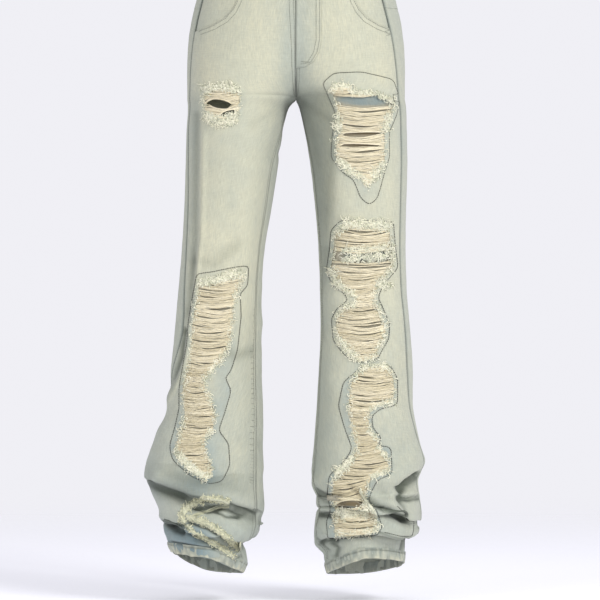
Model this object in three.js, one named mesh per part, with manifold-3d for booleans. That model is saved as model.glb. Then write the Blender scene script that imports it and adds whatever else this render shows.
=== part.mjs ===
// Ripped flare jeans, worn: a hollow garment in millimetres, +Z up, its front facing -Y and the wearer's
// right leg on the -X side. The origin is the middle of the waist opening, where the wearer holds it up.
// Every cloth piece is a wall on one surface, lofted through rings of half of the garment.

import * as THREE from "three";
import { mergeVertices } from "three/addons/utils/BufferGeometryUtils.js";
import Module from "manifold-3d";

const wasm = await Module();
wasm.setup();

// ---- Driving dimensions ----

const CLOTH = 2.2; // wall of a front or back panel
const HEM_CLOTH = 2.8; // the turned-up hem
const HEM_STEP = 0.3; // how far its face stands proud of the panel's
const BAND_CLOTH = 3; // the doubled waistband
const BAND_STEP = 0.8; // how far its face stands proud of the panel's
const BUTTON_SHANK = 1.6; // the button's head stands this far off the band
const PATCH_CLOTH = 1.6; // patches, facings and pockets
const WEFT_CLOTH = 1.2; // the loose weft threads left in a rip, as one thin wall
const WEFT_SINK = 0.5; // how far their face lies under the cloth's
const FACING_DEPTH = 14; // how far a pocket's facing runs past the edge of the pocket's mouth
const GAP = 0.3; // between two pieces that meet
const CORNER = 2.25; // exponent of the sections: 2 is an ellipse, more is squarer
const WAIST_TOP = { side: 148, front: 101 }; // the waist's half width and half depth at the band's top
const WAIST_FOOT = { side: 154, front: 106 }; // and at its lower edge
const BAND_DEPTH = 40; // height of the waistband
const BAND_SLIT = 0.15; // half the angle of the slit at the front, in degrees, where the button closes it
const WAIST_DIP = 18; // how much lower the waist is at the front than at the back
const HIP_LEVEL = -150; // the dip has faded out here
const HIP_FLARE = 0.3; // how fast the hips widen below the waistband
const CROTCH_LEVEL = -235;
const FRONT_STRIPS = 8; // strips of cloth across a front panel
const BACK_STRIPS = 9;
const BAND_STRIPS = 30; // strips of cloth round the waistband
const BEYOND = 250; // depth past any part of the garment, for the cutters
const MIDDLE = 5; // the cutters for one side stop this far from the plane between front and back

const COLOURS = {
  denim: [0xc3c7b4, 0.92],
  patch: [0x9fb0b2, 0.92],
  weft: [0xe2d6b6, 0.95],
  hem: [0xaab6ac, 0.92],
  metal: [0x8d8a80, 0.4],
};

// ---- Rings ----
// A ring is a level section of half of the garment. outer and inner are its reach from the middle plane,
// front and back its reach from the waist's middle. Above the crotch, inner is negative: the ring crosses
// the middle plane and is cut there. z may be one height, or eight round the leg, from the outer side over
// the front (third), the inside leg (fifth) and the back (seventh).

const HIP_RINGS = [
  { z: -42, outer: 154, inner: -154, front: 106, back: 106 },
  { z: -72, outer: 162, inner: -158, front: 110, back: 113 },
  { z: -110, outer: 170, inner: -140, front: 113, back: 126 },
  { z: -150, outer: 175, inner: -98, front: 114, back: 135 },
  { z: -190, outer: 177, inner: -52, front: 112, back: 138 },
  { z: -215, outer: 177, inner: -23, front: 110, back: 136 },
  { z: -228, outer: 177, inner: -8, front: 109, back: 133 },
  { z: CROTCH_LEVEL, outer: 177, inner: 0, front: 108, back: 131 },
];

const RIGHT_RINGS = [
  ...HIP_RINGS,
  { z: -247, outer: 176, inner: 11, front: 107, back: 127 },
  { z: -285, outer: 178, inner: 20, front: 105, back: 118 },
  { z: -345, outer: 179, inner: 29, front: 101, back: 105 },
  { z: -410, outer: 181, inner: 39, front: 95, back: 93 },
  { z: -475, outer: 185, inner: 50, front: 89, back: 82 },
  { z: -540, outer: 190, inner: 55, front: 84, back: 73 },
  { z: -610, outer: 196, inner: 56, front: 80, back: 71 },
  { z: -675, outer: 206, inner: 56, front: 79, back: 77 },
  { z: -735, outer: 211, inner: 54, front: 82, back: 88 },
  { z: [-788, -792, -800, -806, -812, -808, -802, -794], outer: 230, inner: 53, front: 88, back: 100 },
  // the great fold, pulled out to a point on the outer side
  { z: [-845, -856, -873, -889, -901, -891, -874, -855], outer: 246, inner: 51, front: 108, back: 116 },
  { z: [-867, -877, -894, -911, -923, -912, -895, -876], outer: 238, inner: 53, front: 88, back: 102 },
  { z: [-900, -910, -921, -930, -932, -934, -933, -918], outer: 220, inner: 57, front: 100, back: 107 },
  // the fold over the hem
  { z: [-917, -927, -938, -946, -945, -952, -950, -936], outer: 218, inner: 63, front: 103, back: 108 },
  { z: [-925, -935, -947, -957, -956, -962, -958, -944], outer: 211, inner: 80, front: 88, back: 97 },
  { z: [-951, -951, -956, -973, -983, -989, -988, -967], outer: 206, inner: 80, front: 90, back: 99 },
  { z: [-969, -969, -973, -991, -1003, -1008, -1006, -985], outer: 201, inner: 86, front: 92, back: 101 },
];

const LEFT_RINGS = [
  ...HIP_RINGS,
  { z: -247, outer: 179, inner: 5, front: 107, back: 127 },
  { z: -285, outer: 180, inner: 14, front: 105, back: 118 },
  { z: -345, outer: 180, inner: 24, front: 101, back: 105 },
  { z: -410, outer: 178, inner: 31, front: 95, back: 93 },
  { z: -475, outer: 177, inner: 36, front: 89, back: 82 },
  { z: -540, outer: 179, inner: 38, front: 84, back: 73 },
  { z: -610, outer: 186, inner: 39, front: 80, back: 71 },
  { z: -675, outer: 190, inner: 36, front: 79, back: 77 },
  { z: -735, outer: 194, inner: 33, front: 82, back: 88 },
  { z: [-790, -803, -816, -816, -818, -818, -813, -800], outer: 204, inner: 27, front: 88, back: 101 },
  // the bulge below the knee, on the outer side
  { z: [-822, -835, -848, -848, -850, -850, -845, -832], outer: 209, inner: 25, front: 94, back: 107 },
  { z: [-846, -859, -868, -866, -870, -872, -868, -856], outer: 197, inner: 31, front: 89, back: 99 },
  // the slanting fold across the front
  { z: [-910, -905, -892, -882, -887, -899, -900, -907], outer: 204, inner: 33, front: 101, back: 107 },
  { z: [-922, -917, -904, -896, -903, -909, -911, -919], outer: 197, inner: 36, front: 89, back: 97 },
  // the fold over the hem
  { z: [-936, -941, -931, -941, -956, -951, -947, -941], outer: 199, inner: 31, front: 104, back: 110 },
  { z: [-944, -951, -943, -953, -968, -961, -956, -949], outer: 182, inner: 44, front: 88, back: 98 },
  { z: [-969, -961, -957, -973, -986, -992, -992, -982], outer: 177, inner: 48, front: 90, back: 98 },
  { z: [-987, -978, -974, -991, -1004, -1010, -1010, -1000], outer: 176, inner: 51, front: 92, back: 100 },
];

// side is -1 for the wearer's right. Seams are angles round the leg, in degrees: 0 is straight out to the
// side, 90 is the front and 180 the inside leg. The inseam turns to its own angle by LEG_SEAM. The outseam
// goes through pairs of a height and an angle, because each leg has twisted as it was worn.
const LEG_SEAM = -345;
const LEGS = {
  right: {
    side: -1,
    rings: RIGHT_RINGS,
    outseam: [[0, 22], [-300, 20], [-430, 29], [-610, 38], [-655, 33], [-705, -6], [-760, -12]],
    inseam: 150,
  },
  left: { side: 1, rings: LEFT_RINGS, outseam: [[0, 32], [-690, 32], [-800, 12]], inseam: 165 },
};

// ---- The garment's surface ----

const degrees = (angle) => (angle * Math.PI) / 180;
const blend = (a, b, t) => a + (b - a) * t;
const clamp01 = (t) => Math.min(1, Math.max(0, t));

/** A height that goes round the leg through eight keys, smoothly. */
function roundLeg(keys, angle) {
  if (typeof keys === "number") return keys;
  const at = ((((angle % 360) + 360) % 360) / 360) * keys.length;
  const i = Math.floor(at);
  const t = at - i;
  const [a, b, c, d] = [-1, 0, 1, 2].map((k) => keys[(i + k + keys.length) % keys.length]);
  return b + 0.5 * t * (c - a + t * (2 * a - 5 * b + 4 * c - d + t * (3 * (b - c) + d - a)));
}

/** The angle at which a ring above the crotch meets the middle plane. */
function middleAngle(ring) {
  const reach = (ring.outer + ring.inner) / (ring.outer - ring.inner);
  const cosine = Math.min(1, reach) ** (CORNER / 2);
  return 180 - (Math.acos(cosine) * 180) / Math.PI;
}

/** Where the front and back panels of a leg end on a ring: the rise above the crotch, the inseam below. */
function inseamAngle(leg, ring) {
  if (ring.inner <= 0) return middleAngle(ring);
  const down = (CROTCH_LEVEL - outerHeight(ring)) / (CROTCH_LEVEL - LEG_SEAM);
  return blend(180, leg.inseam, clamp01(down));
}

/** Where the side seam crosses a ring. */
function outseamAngle(leg, ring) {
  const z = outerHeight(ring);
  const next = leg.outseam.findIndex(([height]) => height <= z);
  if (next < 0) return leg.outseam.at(-1)[1];
  const [above, below] = [leg.outseam[Math.max(0, next - 1)], leg.outseam[next]];
  return blend(above[1], below[1], clamp01((above[0] - z) / (above[0] - below[0] || 1)));
}

/** A ring's height at the outer side of its leg. */
function outerHeight(ring) {
  return typeof ring.z === "number" ? ring.z : ring.z[0];
}

/** A point of the cloth's outer face on a ring, at an angle round the leg, moved out by a distance. */
function ringPoint(leg, ring, angle, out = 0) {
  const half = (ring.outer - ring.inner) / 2;
  const depth = (ring.front + ring.back) / 2;
  const cosine = Math.cos(degrees(angle));
  const sine = Math.sin(degrees(angle));
  const across = half * Math.sign(cosine) * Math.abs(cosine) ** (2 / CORNER);
  const along = -depth * Math.sign(sine) * Math.abs(sine) ** (2 / CORNER);
  const reach = 1 + out / Math.hypot(across, along);
  const x = leg.side * ((ring.outer + ring.inner) / 2 + across * reach);
  const y = (ring.back - ring.front) / 2 + along * reach;
  const height = roundLeg(ring.z, angle);
  const dip = WAIST_DIP * clamp01((height - HIP_LEVEL) / -HIP_LEVEL) * (1 + sine) * 0.5;
  return new THREE.Vector3(x, y, height - dip);
}

// ---- Solids ----

/** A closed wall between an outer and an inner grid of points, which may close on itself. */
function wall(outer, inner, closed = false) {
  const rows = outer[0].length;
  const columns = outer.length;
  const points = [...outer.flat(), ...inner.flat()];
  const faces = [];
  const at = (layer, c, r) => layer * rows * columns + (c % columns) * rows + r;
  const quad = (a, b, c, d) => faces.push(a, b, c, a, c, d);
  const last = closed ? columns : columns - 1;
  for (let c = 0; c < last; c++) {
    for (let r = 0; r < rows - 1; r++) {
      quad(at(0, c, r), at(0, c, r + 1), at(0, c + 1, r + 1), at(0, c + 1, r));
      quad(at(1, c, r), at(1, c + 1, r), at(1, c + 1, r + 1), at(1, c, r + 1));
    }
    quad(at(0, c, 0), at(0, c + 1, 0), at(1, c + 1, 0), at(1, c, 0));
    quad(at(0, c, rows - 1), at(1, c, rows - 1), at(1, c + 1, rows - 1), at(0, c + 1, rows - 1));
  }
  if (!closed) {
    for (let r = 0; r < rows - 1; r++) {
      quad(at(0, 0, r), at(1, 0, r), at(1, 0, r + 1), at(0, 0, r + 1));
      const end = columns - 1;
      quad(at(0, end, r), at(0, end, r + 1), at(1, end, r + 1), at(1, end, r));
    }
  }
  return solidFrom(points, faces);
}

/** A manifold solid from points and triangles, turned right side out. */
function solidFrom(points, faces) {
  const geometry = new THREE.BufferGeometry().setFromPoints(points);
  geometry.setIndex(faces);
  return solidOf(geometry);
}

function solidOf(geometry) {
  const bare = geometry.clone();
  bare.deleteAttribute("normal");
  bare.deleteAttribute("uv");
  const merged = mergeVertices(bare, 1e-3);
  const vertProperties = new Float32Array(merged.attributes.position.array);
  const build = (triVerts) => new wasm.Manifold(new wasm.Mesh({ numProp: 3, vertProperties, triVerts }));
  const triVerts = new Uint32Array(merged.index.array);
  const solid = build(triVerts);
  return solid.volume() > 0 ? solid : build(triVerts.slice().reverse());
}

/** A cutter: an outline in the front view, extruded along Y from one depth to another. */
function cutter(outline, from, to) {
  const shape = new THREE.Shape(outline);
  const geometry = new THREE.ExtrudeGeometry(shape, { depth: to - from, bevelEnabled: false, steps: 1 });
  // the shape's plane is turned upright, and its depth runs back to front
  geometry.rotateX(Math.PI / 2).translate(0, to, 0);
  return solidOf(geometry);
}

/** An outline moved out by a distance, or in where it is negative. */
function offsetOutline(outline, distance) {
  const turn = THREE.ShapeUtils.isClockWise(outline) ? 1 : -1;
  return outline.map((p, i) => {
    const before = outline[(i + outline.length - 1) % outline.length];
    const after = outline[(i + 1) % outline.length];
    const along = after.clone().sub(before).normalize();
    return new THREE.Vector2(p.x - turn * along.y * distance, p.y + turn * along.x * distance);
  });
}

// ---- Panels ----

/** The angle at a share of the way across a front or back panel, kept half a gap from each seam. */
function panelAngle(leg, ring, share, panel) {
  const clearance = (GAP / 2 / ((ring.outer - ring.inner) / 2)) * (180 / Math.PI);
  const inseam = inseamAngle(leg, ring);
  const outseam = outseamAngle(leg, ring);
  const [from, to] =
    panel === "front"
      ? [outseam + clearance, inseam - clearance]
      : [outseam - clearance, (ring.inner <= 0 ? -inseam : inseam - 360) + clearance];
  return blend(from, to, share);
}

/** A wall on the front or back of a leg, between two rings and two distances out from the cloth's face. */
function panelWall(leg, panel, { from = 0, to = Infinity, face = 0, back = -CLOTH } = {}) {
  const rings = leg.rings.slice(from, Math.min(to, leg.rings.length - 2) + 1);
  const strips = panel === "front" ? FRONT_STRIPS : BACK_STRIPS;
  const column = (share, out) =>
    rings.map((ring) => keepSide(leg, ringPoint(leg, ring, panelAngle(leg, ring, share, panel), out)));
  const grid = (out) => Array.from({ length: strips + 1 }, (_, c) => column(c / strips, out));
  return wall(grid(face), grid(back));
}

/** Keeps a point of one half of the garment off the middle plane. */
function keepSide(leg, point) {
  if (leg.side * point.x < GAP / 2) point.x = (leg.side * GAP) / 2;
  return point;
}

// ---- Outlines in the front view: x to the wearer's left, z up ----

const RIPS = {
  thighRight: [
    [-146, -224], [-120, -219], [-93, -224], [-89, -246],
    [-95, -264], [-119, -271], [-141, -266], [-148, -246],
  ],
  shinRight: [
    [-156, -533], [-128, -529], [-88, -517], [-86, -531], [-98, -556], [-102, -600], [-106, -630],
    [-119, -655], [-135, -672], [-149, -690], [-143, -706], [-136, -722], [-130, -745], [-133, -768],
    [-149, -786], [-143, -806], [-134, -832], [-141, -847], [-162, -832], [-188, -812], [-193, -798],
    [-186, -772], [-178, -752], [-182, -704], [-175, -672], [-168, -635], [-166, -600], [-160, -560],
  ],
  thighLeft: [
    [56, -218], [84, -218], [92, -229], [122, -228], [158, -241], [153, -262], [141, -290], [142, -340],
    [131, -361], [119, -369], [115, -382], [108, -366], [86, -354], [64, -336], [64, -309], [69, -290],
    [65, -258],
  ],
  kneeLeft: [
    [80, -440], [150, -442], [152, -470], [157, -506], [133, -533], [123, -556], [132, -575], [144, -600],
    [143, -618], [131, -638], [128, -652], [104, -658], [86, -645], [66, -622], [63, -592], [72, -575],
    [98, -564], [96, -552], [70, -540], [55, -512], [60, -480], [62, -455],
  ],
  shinLeft: [
    [106, -668], [146, -664], [157, -686], [157, -724], [128, -728], [114, -742], [117, -768], [132, -783],
    [130, -796], [148, -814], [149, -834], [120, -843], [112, -868], [108, -882], [122, -900], [131, -922],
    [124, -931], [92, -934], [64, -938], [60, -916], [64, -896], [57, -874], [60, -846], [84, -824],
    [98, -798], [90, -762], [84, -730], [88, -692],
  ],
};

// The line of dark stitching that holds each patch, wider than the rip that the patch shows through.
const PATCHES = {
  shinRight: [
    [-159, -518], [-134, -515], [-96, -507], [-76, -505], [-78, -538], [-90, -549], [-88, -585], [-94, -640],
    [-105, -675], [-114, -684], [-104, -705], [-114, -740], [-124, -769], [-108, -790], [-106, -825],
    [-118, -850], [-138, -854], [-168, -842], [-198, -816], [-203, -795], [-194, -762], [-188, -735],
    [-188, -700], [-181, -662], [-175, -630], [-173, -595], [-166, -555],
  ],
  thighLeft: [
    [42, -214], [54, -240], [64, -264], [58, -296], [56, -332], [74, -356], [92, -368], [104, -398],
    [117, -408], [130, -398], [139, -366], [150, -330], [149, -292], [162, -262], [167, -236], [156, -206],
    [104, -196], [60, -198],
  ],
  kneeLeft: [
    [72, -432], [110, -433], [156, -434], [159, -470], [164, -508], [140, -536], [131, -556], [139, -572],
    [150, -598], [149, -622], [137, -642], [132, -654], [102, -661], [80, -651], [60, -626], [57, -590],
    [66, -573], [84, -560], [76, -548], [58, -536], [49, -512], [54, -478], [56, -448],
  ],
  shinLeft: [
    [104, -668], [150, -663], [163, -686], [163, -728], [134, -735], [121, -746], [123, -765], [139, -783],
    [138, -795], [154, -810], [155, -838], [130, -848], [120, -868], [116, -880], [130, -898], [138, -924],
    [128, -937], [92, -940], [58, -942], [54, -916], [57, -898], [50, -874], [53, -842], [78, -818],
    [90, -798], [78, -765], [68, -730], [76, -692],
  ],
};

// The worn-through slot between the threads of the right thigh's rip, and the torn band above the right hem.
const THREAD_SLOT = [[-142, -244], [-118, -250], [-106, -254], [-118, -260], [-136, -256]];
const TORN_BAND = [
  [-118, -881], [-140, -882], [-158, -884], [-176, -894], [-183, -908], [-178, -917], [-152, -922],
  [-132, -934], [-112, -948], [-106, -942], [-124, -922], [-142, -911], [-166, -904], [-150, -894],
];

/** An outline from a table, moved out by a distance. */
const outline = (points, distance = 0) =>
  offsetOutline(
    points.map(([x, z]) => new THREE.Vector2(x, z)),
    distance,
  );

const frontCutter = (shape) => cutter(shape, -BEYOND, -MIDDLE);
const backCutter = (shape) => cutter(shape, MIDDLE, BEYOND);

/** A patch, facing, pocket or rip's threads: a wall in the garment's surface, cut to an outline. */
function onPanel(leg, panel, shape, layer) {
  return panelWall(leg, panel, layer).intersect(panel === "front" ? frontCutter(shape) : backCutter(shape));
}

// ---- Hip pieces ----

/** The mouth of a front pocket: a curve from the waistband to the side seam, closed above and outside. */
function pocketMouth(side, distance = 0) {
  const curve = new THREE.SplineCurve([
    new THREE.Vector2(side * 86, -30),
    new THREE.Vector2(side * 92, -74),
    new THREE.Vector2(side * 112, -106),
    new THREE.Vector2(side * 142, -124),
    new THREE.Vector2(side * 190, -132),
  ]);
  return offsetOutline([...curve.getPoints(10), new THREE.Vector2(side * 200, -30)], distance);
}

/** All that lies above the seam which falls from the side to the middle of the back. */
function yokeCut(side, distance = 0) {
  return [
    new THREE.Vector2(0, -122 - distance),
    new THREE.Vector2(side * 90, -98 - distance),
    new THREE.Vector2(side * 200, -84 - distance),
    new THREE.Vector2(side * 200, 10),
    new THREE.Vector2(0, 10),
  ];
}

/** A back pocket: five-sided, wider at the top, its point a little off its middle. */
function backPocket(side) {
  const corners = [[26, -142], [142, -130], [132, -246], [82, -268], [40, -256]];
  return corners.map(([x, z]) => new THREE.Vector2(side * x, z));
}

/** A point of the waist's outer face: the waistband and what is on it are built on this surface. */
function waistPoint(angle, height, out) {
  const rise = clamp01((height + BAND_DEPTH) / BAND_DEPTH);
  const flare = Math.max(0, -BAND_DEPTH - height) * HIP_FLARE;
  const outer = blend(WAIST_FOOT.side, WAIST_TOP.side, rise) + flare;
  const front = blend(WAIST_FOOT.front, WAIST_TOP.front, rise) + flare;
  return ringPoint(LEGS.left, { z: height, outer, inner: -outer, front, back: front }, angle, out);
}

function waistband() {
  const overlap = 1.7; // how far it comes down over the panels' upper edge
  const grid = (out) =>
    Array.from({ length: BAND_STRIPS + 1 }, (_, c) => {
      const angle = blend(90 + BAND_SLIT, 450 - BAND_SLIT, c / BAND_STRIPS);
      return [-BAND_DEPTH - overlap, 0].map((height) => waistPoint(angle, height, out));
    });
  return wall(grid(BAND_STEP), grid(BAND_STEP - BAND_CLOTH));
}

/** A belt loop: a strap that stands off the band so that a belt passes behind it. */
function beltLoop(angle) {
  const halfWidth = 6;
  const strap = 1.6;
  const standOff = 8;
  const foot = 4; // the length sewn down at each end
  const bend = 3; // the height in which the strap comes away from the band
  const [top, bottom] = [-1, -BAND_DEPTH - 12];
  const face = BAND_STEP + GAP;
  const profile = [
    [bottom, face],
    [bottom, face + strap],
    [bottom + foot, face + strap],
    [bottom + foot + bend, face + standOff + strap],
    [top - foot - bend, face + standOff + strap],
    [top - foot, face + strap],
    [top, face + strap],
    [top, face],
    [top - foot - strap, face],
    [top - foot - strap - bend, face + standOff],
    [bottom + foot + strap + bend, face + standOff],
    [bottom + foot + strap, face],
  ];
  // half its angle round the waist, found from its width in a few steps
  let spread = 2;
  for (let i = 0; i < 6; i++) {
    const chord = waistPoint(angle - spread, 0, 0).distanceTo(waistPoint(angle + spread, 0, 0));
    spread *= (2 * halfWidth) / chord;
  }
  const edge = (turn) => profile.map(([height, out]) => waistPoint(angle + turn, height, out));
  const cap = THREE.ShapeUtils.triangulateShape(profile.map(([h, o]) => new THREE.Vector2(h, o)), []);
  const n = profile.length;
  const faces = cap.flatMap(([a, b, c]) => [a, b, c, n + a, n + c, n + b]);
  for (let i = 0; i < n; i++) {
    const j = (i + 1) % n;
    faces.push(i, j, n + i, j, n + j, n + i);
  }
  return solidFrom([...edge(-spread), ...edge(spread)], faces);
}

/** The waist button: a shallow domed head on a flat back. */
function waistButton() {
  const profile = [[0, 0], [7.5, 0], [8.5, 0.8], [8.5, 2], [7.2, 2.8], [5.6, 2.4], [0, 3]];
  const geometry = new THREE.LatheGeometry(profile.map(([r, h]) => new THREE.Vector2(r, h)), 20);
  const face = waistPoint(90, -BAND_DEPTH / 2, BAND_STEP + GAP + BUTTON_SHANK);
  return solidOf(geometry.rotateX(Math.PI).translate(face.x, face.y, face.z));
}

/** The fly's flap: a J-shaped strip on the left front, from the waistband down to the curve of the rise. */
function flyFlap(leg) {
  const cloth = 1.2;
  const shape = [[GAP, -40], [40, -40], [40, -150], [34, -170], [22, -184], [GAP, -190]];
  const outline = shape.map(([x, z]) => new THREE.Vector2(x, z));
  return onPanel(leg, "front", outline, { to: 5, face: GAP + cloth, back: GAP });
}

/** The turned-up hem: a tube below the panels of a leg, with their columns. */
function hem(leg) {
  const [upper, lower] = leg.rings.slice(-2);
  const rings = [{ ...upper, z: upper.z.map((z) => z - GAP) }, lower];
  const across = (panel, strips) =>
    Array.from({ length: strips + 1 }, (_, c) => panelAngle(leg, upper, c / strips, panel));
  const angles = [...across("front", FRONT_STRIPS), ...across("back", BACK_STRIPS).slice(1, -1).reverse()];
  const grid = (out) => angles.map((angle) => rings.map((ring) => ringPoint(leg, ring, angle, out)));
  return wall(grid(HEM_STEP), grid(HEM_STEP - HEM_CLOTH), true);
}

// ---- The garment ----

const jeans = new THREE.Group();

/** Adds a solid to the garment as a named mesh with a colour from the table. */
function add(name, solid, colour) {
  const { vertProperties, triVerts } = solid.getMesh();
  const geometry = new THREE.BufferGeometry();
  geometry.setAttribute("position", new THREE.BufferAttribute(new Float32Array(vertProperties), 3));
  geometry.setIndex(new THREE.BufferAttribute(new Uint32Array(triVerts), 1));
  geometry.computeVertexNormals();
  const [color, roughness] = COLOURS[colour];
  const metalness = colour === "metal" ? 0.8 : 0;
  const mesh = new THREE.Mesh(geometry, new THREE.MeshStandardMaterial({ color, roughness, metalness }));
  mesh.name = name;
  jeans.add(mesh);
}

// Layers, as distances out from the cloth's face.
const BEHIND = { face: -CLOTH - GAP, back: -CLOTH - GAP - PATCH_CLOTH };
const IN_PLACE = { face: -WEFT_SINK, back: -WEFT_SINK - WEFT_CLOTH };
const ON_TOP = { face: GAP + PATCH_CLOTH, back: GAP };

const RIPS_OF = {
  right: ["thighRight", "shinRight"],
  left: ["thighLeft", "kneeLeft", "shinLeft"],
};

/** Cuts a front's rips out of it, and adds the threads left in each rip and the patch behind it. */
function ripped(name, leg, front) {
  let cloth = front;
  for (const rip of RIPS_OF[name]) {
    cloth = cloth.subtract(frontCutter(outline(RIPS[rip])));
    let threads = onPanel(leg, "front", outline(RIPS[rip], -GAP), IN_PLACE);
    if (rip === "thighRight") threads = threads.subtract(frontCutter(outline(THREAD_SLOT)));
    add(`weft_${rip}`, threads, "weft");
    if (PATCHES[rip]) add(`patch_${rip}`, onPanel(leg, "front", outline(PATCHES[rip]), BEHIND), "patch");
  }
  return cloth;
}

for (const [name, leg] of Object.entries(LEGS)) {
  const { side } = leg;
  const front = panelWall(leg, "front").subtract(cutter(pocketMouth(side), -BEYOND, 60));
  add(`front_${name}`, ripped(name, leg, front), "denim");
  const facing = onPanel(leg, "front", pocketMouth(side, FACING_DEPTH), { to: 3, ...BEHIND });
  add(`pocket_facing_${name}`, facing, "denim");

  const back = panelWall(leg, "back");
  const yoke = cutter(yokeCut(side, -GAP / 2), -BEYOND, BEYOND);
  const belowYoke = cutter(yokeCut(side, GAP / 2), -BEYOND, BEYOND);
  add(`back_${name}`, back.subtract(belowYoke), "denim");
  add(`yoke_${name}`, back.intersect(yoke), "denim");
  add(`back_pocket_${name}`, onPanel(leg, "back", backPocket(side), { to: 9, ...ON_TOP }), "denim");
  add(`hem_${name}`, hem(leg), "hem");
}

const aboveHem = RIGHT_RINGS.findIndex((ring) => outerHeight(ring) <= -780);
const tornBand = onPanel(LEGS.right, "front", outline(TORN_BAND), { from: aboveHem, ...ON_TOP });
add("torn_band_right", tornBand, "weft");
add("fly_flap", flyFlap(LEGS.left), "denim");
add("waistband", waistband(), "denim");
add("waist_button", waistButton(), "metal");

const BELT_LOOPS = { front_left: 52, front_right: 128, side_right: 196, side_left: 344, back: 270 };
for (const [name, angle] of Object.entries(BELT_LOOPS)) add(`belt_loop_${name}`, beltLoop(angle), "denim");

export default jeans;
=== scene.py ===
"""Ripped flare jeans, worn: bleached denim panels with torn-out patches of loose threads, in metres."""

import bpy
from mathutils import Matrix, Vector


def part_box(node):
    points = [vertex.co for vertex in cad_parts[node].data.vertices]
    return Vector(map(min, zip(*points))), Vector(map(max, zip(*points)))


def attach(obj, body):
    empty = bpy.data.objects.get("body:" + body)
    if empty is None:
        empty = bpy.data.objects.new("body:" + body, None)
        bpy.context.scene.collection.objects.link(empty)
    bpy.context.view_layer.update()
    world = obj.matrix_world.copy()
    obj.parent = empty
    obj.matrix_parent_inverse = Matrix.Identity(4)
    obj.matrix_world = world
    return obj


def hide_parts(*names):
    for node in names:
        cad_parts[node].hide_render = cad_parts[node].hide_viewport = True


bl_info = {
    "name": "Ripped Flare Jeans",
    "version": (1, 0, 0),
    "blender": (4, 5, 0),
    "location": "3D View > Sidebar > Jeans",
    "description": "Builds worn, hollow jeans with frayed rips, patches, stitching and stacked hems",
    "category": "Add Mesh",
}

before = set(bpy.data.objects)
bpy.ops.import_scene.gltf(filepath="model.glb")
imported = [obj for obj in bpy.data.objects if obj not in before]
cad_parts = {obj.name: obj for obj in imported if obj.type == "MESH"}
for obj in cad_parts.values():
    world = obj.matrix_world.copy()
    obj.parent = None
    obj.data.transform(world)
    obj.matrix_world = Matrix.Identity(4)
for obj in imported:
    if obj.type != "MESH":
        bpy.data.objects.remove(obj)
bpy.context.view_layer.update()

import math
from functools import lru_cache

import bpy
import numpy as np
from bpy.props import FloatProperty, FloatVectorProperty, PointerProperty
from mathutils import Vector
from mathutils.bvhtree import BVHTree

MM = 0.001
TINY = 1e-12
SIDES = {"right": -1, "left": 1}  # the wearer's own sides; the wearer's left is on +X
BAND_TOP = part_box("waistband")[1][2]

# ---- Small helpers


def ramp(value, start, width):
    """From 0 at the start to 1 at a width beyond it."""
    return np.clip((value - start) / width, 0, 1)


def bell(value, width):
    """1 at nothing, falling off smoothly over a width to both sides."""
    return np.exp(-((value / width) ** 2))


def unit(vectors, least=0.0):
    """Vectors of length 1. Least is added to the lengths where one of them may be nothing."""
    return vectors / (np.linalg.norm(vectors, axis=-1, keepdims=True) + least)


def joined(line):
    """A closed line: its first point comes again at its end."""
    return np.concatenate([line, line[:1]])


def run_along(points):
    """The distance along a line of points, at each of them."""
    return np.concatenate([[0], np.cumsum(np.linalg.norm(np.diff(points, axis=0), axis=1))])


def at_run(at, run, values):
    """The values of a line's points at distances along it."""
    return np.stack([np.interp(at, run, column) for column in np.asarray(values, float).T], axis=1)


def grid_quads(rows, columns, closed=False):
    """The faces of a grid of points. In a closed one the last column joins the first."""
    at = np.arange(rows * columns).reshape(rows, columns)
    if closed:
        at = np.hstack([at, at[:, :1]])
    return np.stack([at[:-1, :-1], at[1:, :-1], at[1:, 1:], at[:-1, 1:]], axis=-1).reshape(-1, 4)


# ---- Sizes and colours


def size(name, description, default):
    return FloatProperty(name=name, description=description, default=default, unit="LENGTH", precision=5)


def tone(name, description, default):
    return FloatVectorProperty(
        name=name, description=description, default=default, size=3, subtype="COLOR", min=0, max=1
    )


class JeansCloth(bpy.types.PropertyGroup):
    thickness: size("Cloth", "Thickness of one layer of denim", 0.001)
    row_step: size("Row step", "Distance between the mesh rows of a leg", 0.005)
    stack_step: size("Stack step", "Distance between rows in the folds above the hem", 0.0024)
    column_step: size("Column step", "Distance between the mesh columns of a leg", 0.0038)
    hem_depth: size("Hem depth", "Height of the turned hem", 0.0176)
    band_cloth: size("Waistband", "Thickness of the doubled waistband", 0.0026)
    pucker: size("Pucker", "Depth of the roping along the hems", 0.0009)


class JeansWash(bpy.types.PropertyGroup):
    faded: tone("Faded", "Denim at its most worn, yellowed by the wash", (0.605, 0.592, 0.435))
    plain: tone("Plain", "Denim between the worn places", (0.465, 0.48, 0.385))
    blue: tone("Blue", "Denim where the indigo is left", (0.24, 0.32, 0.335))
    patch: tone("Patch", "The blue-grey denim behind the rips", (0.31, 0.365, 0.34))
    thread: tone("Weft thread", "Loose threads in the rips", (1.0, 0.92, 0.69))
    fray: tone("Fray", "Short fibres round the rips", (1.0, 0.97, 0.77))
    stitch: tone("Stitch", "Dark sewing thread round the patches", (0.04, 0.042, 0.03))
    topstitch: tone("Topstitch", "Faded sewing thread of the seams", (0.24, 0.25, 0.20))
    metal: tone("Button", "Dull, aged metal", (0.30, 0.27, 0.22))


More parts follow.
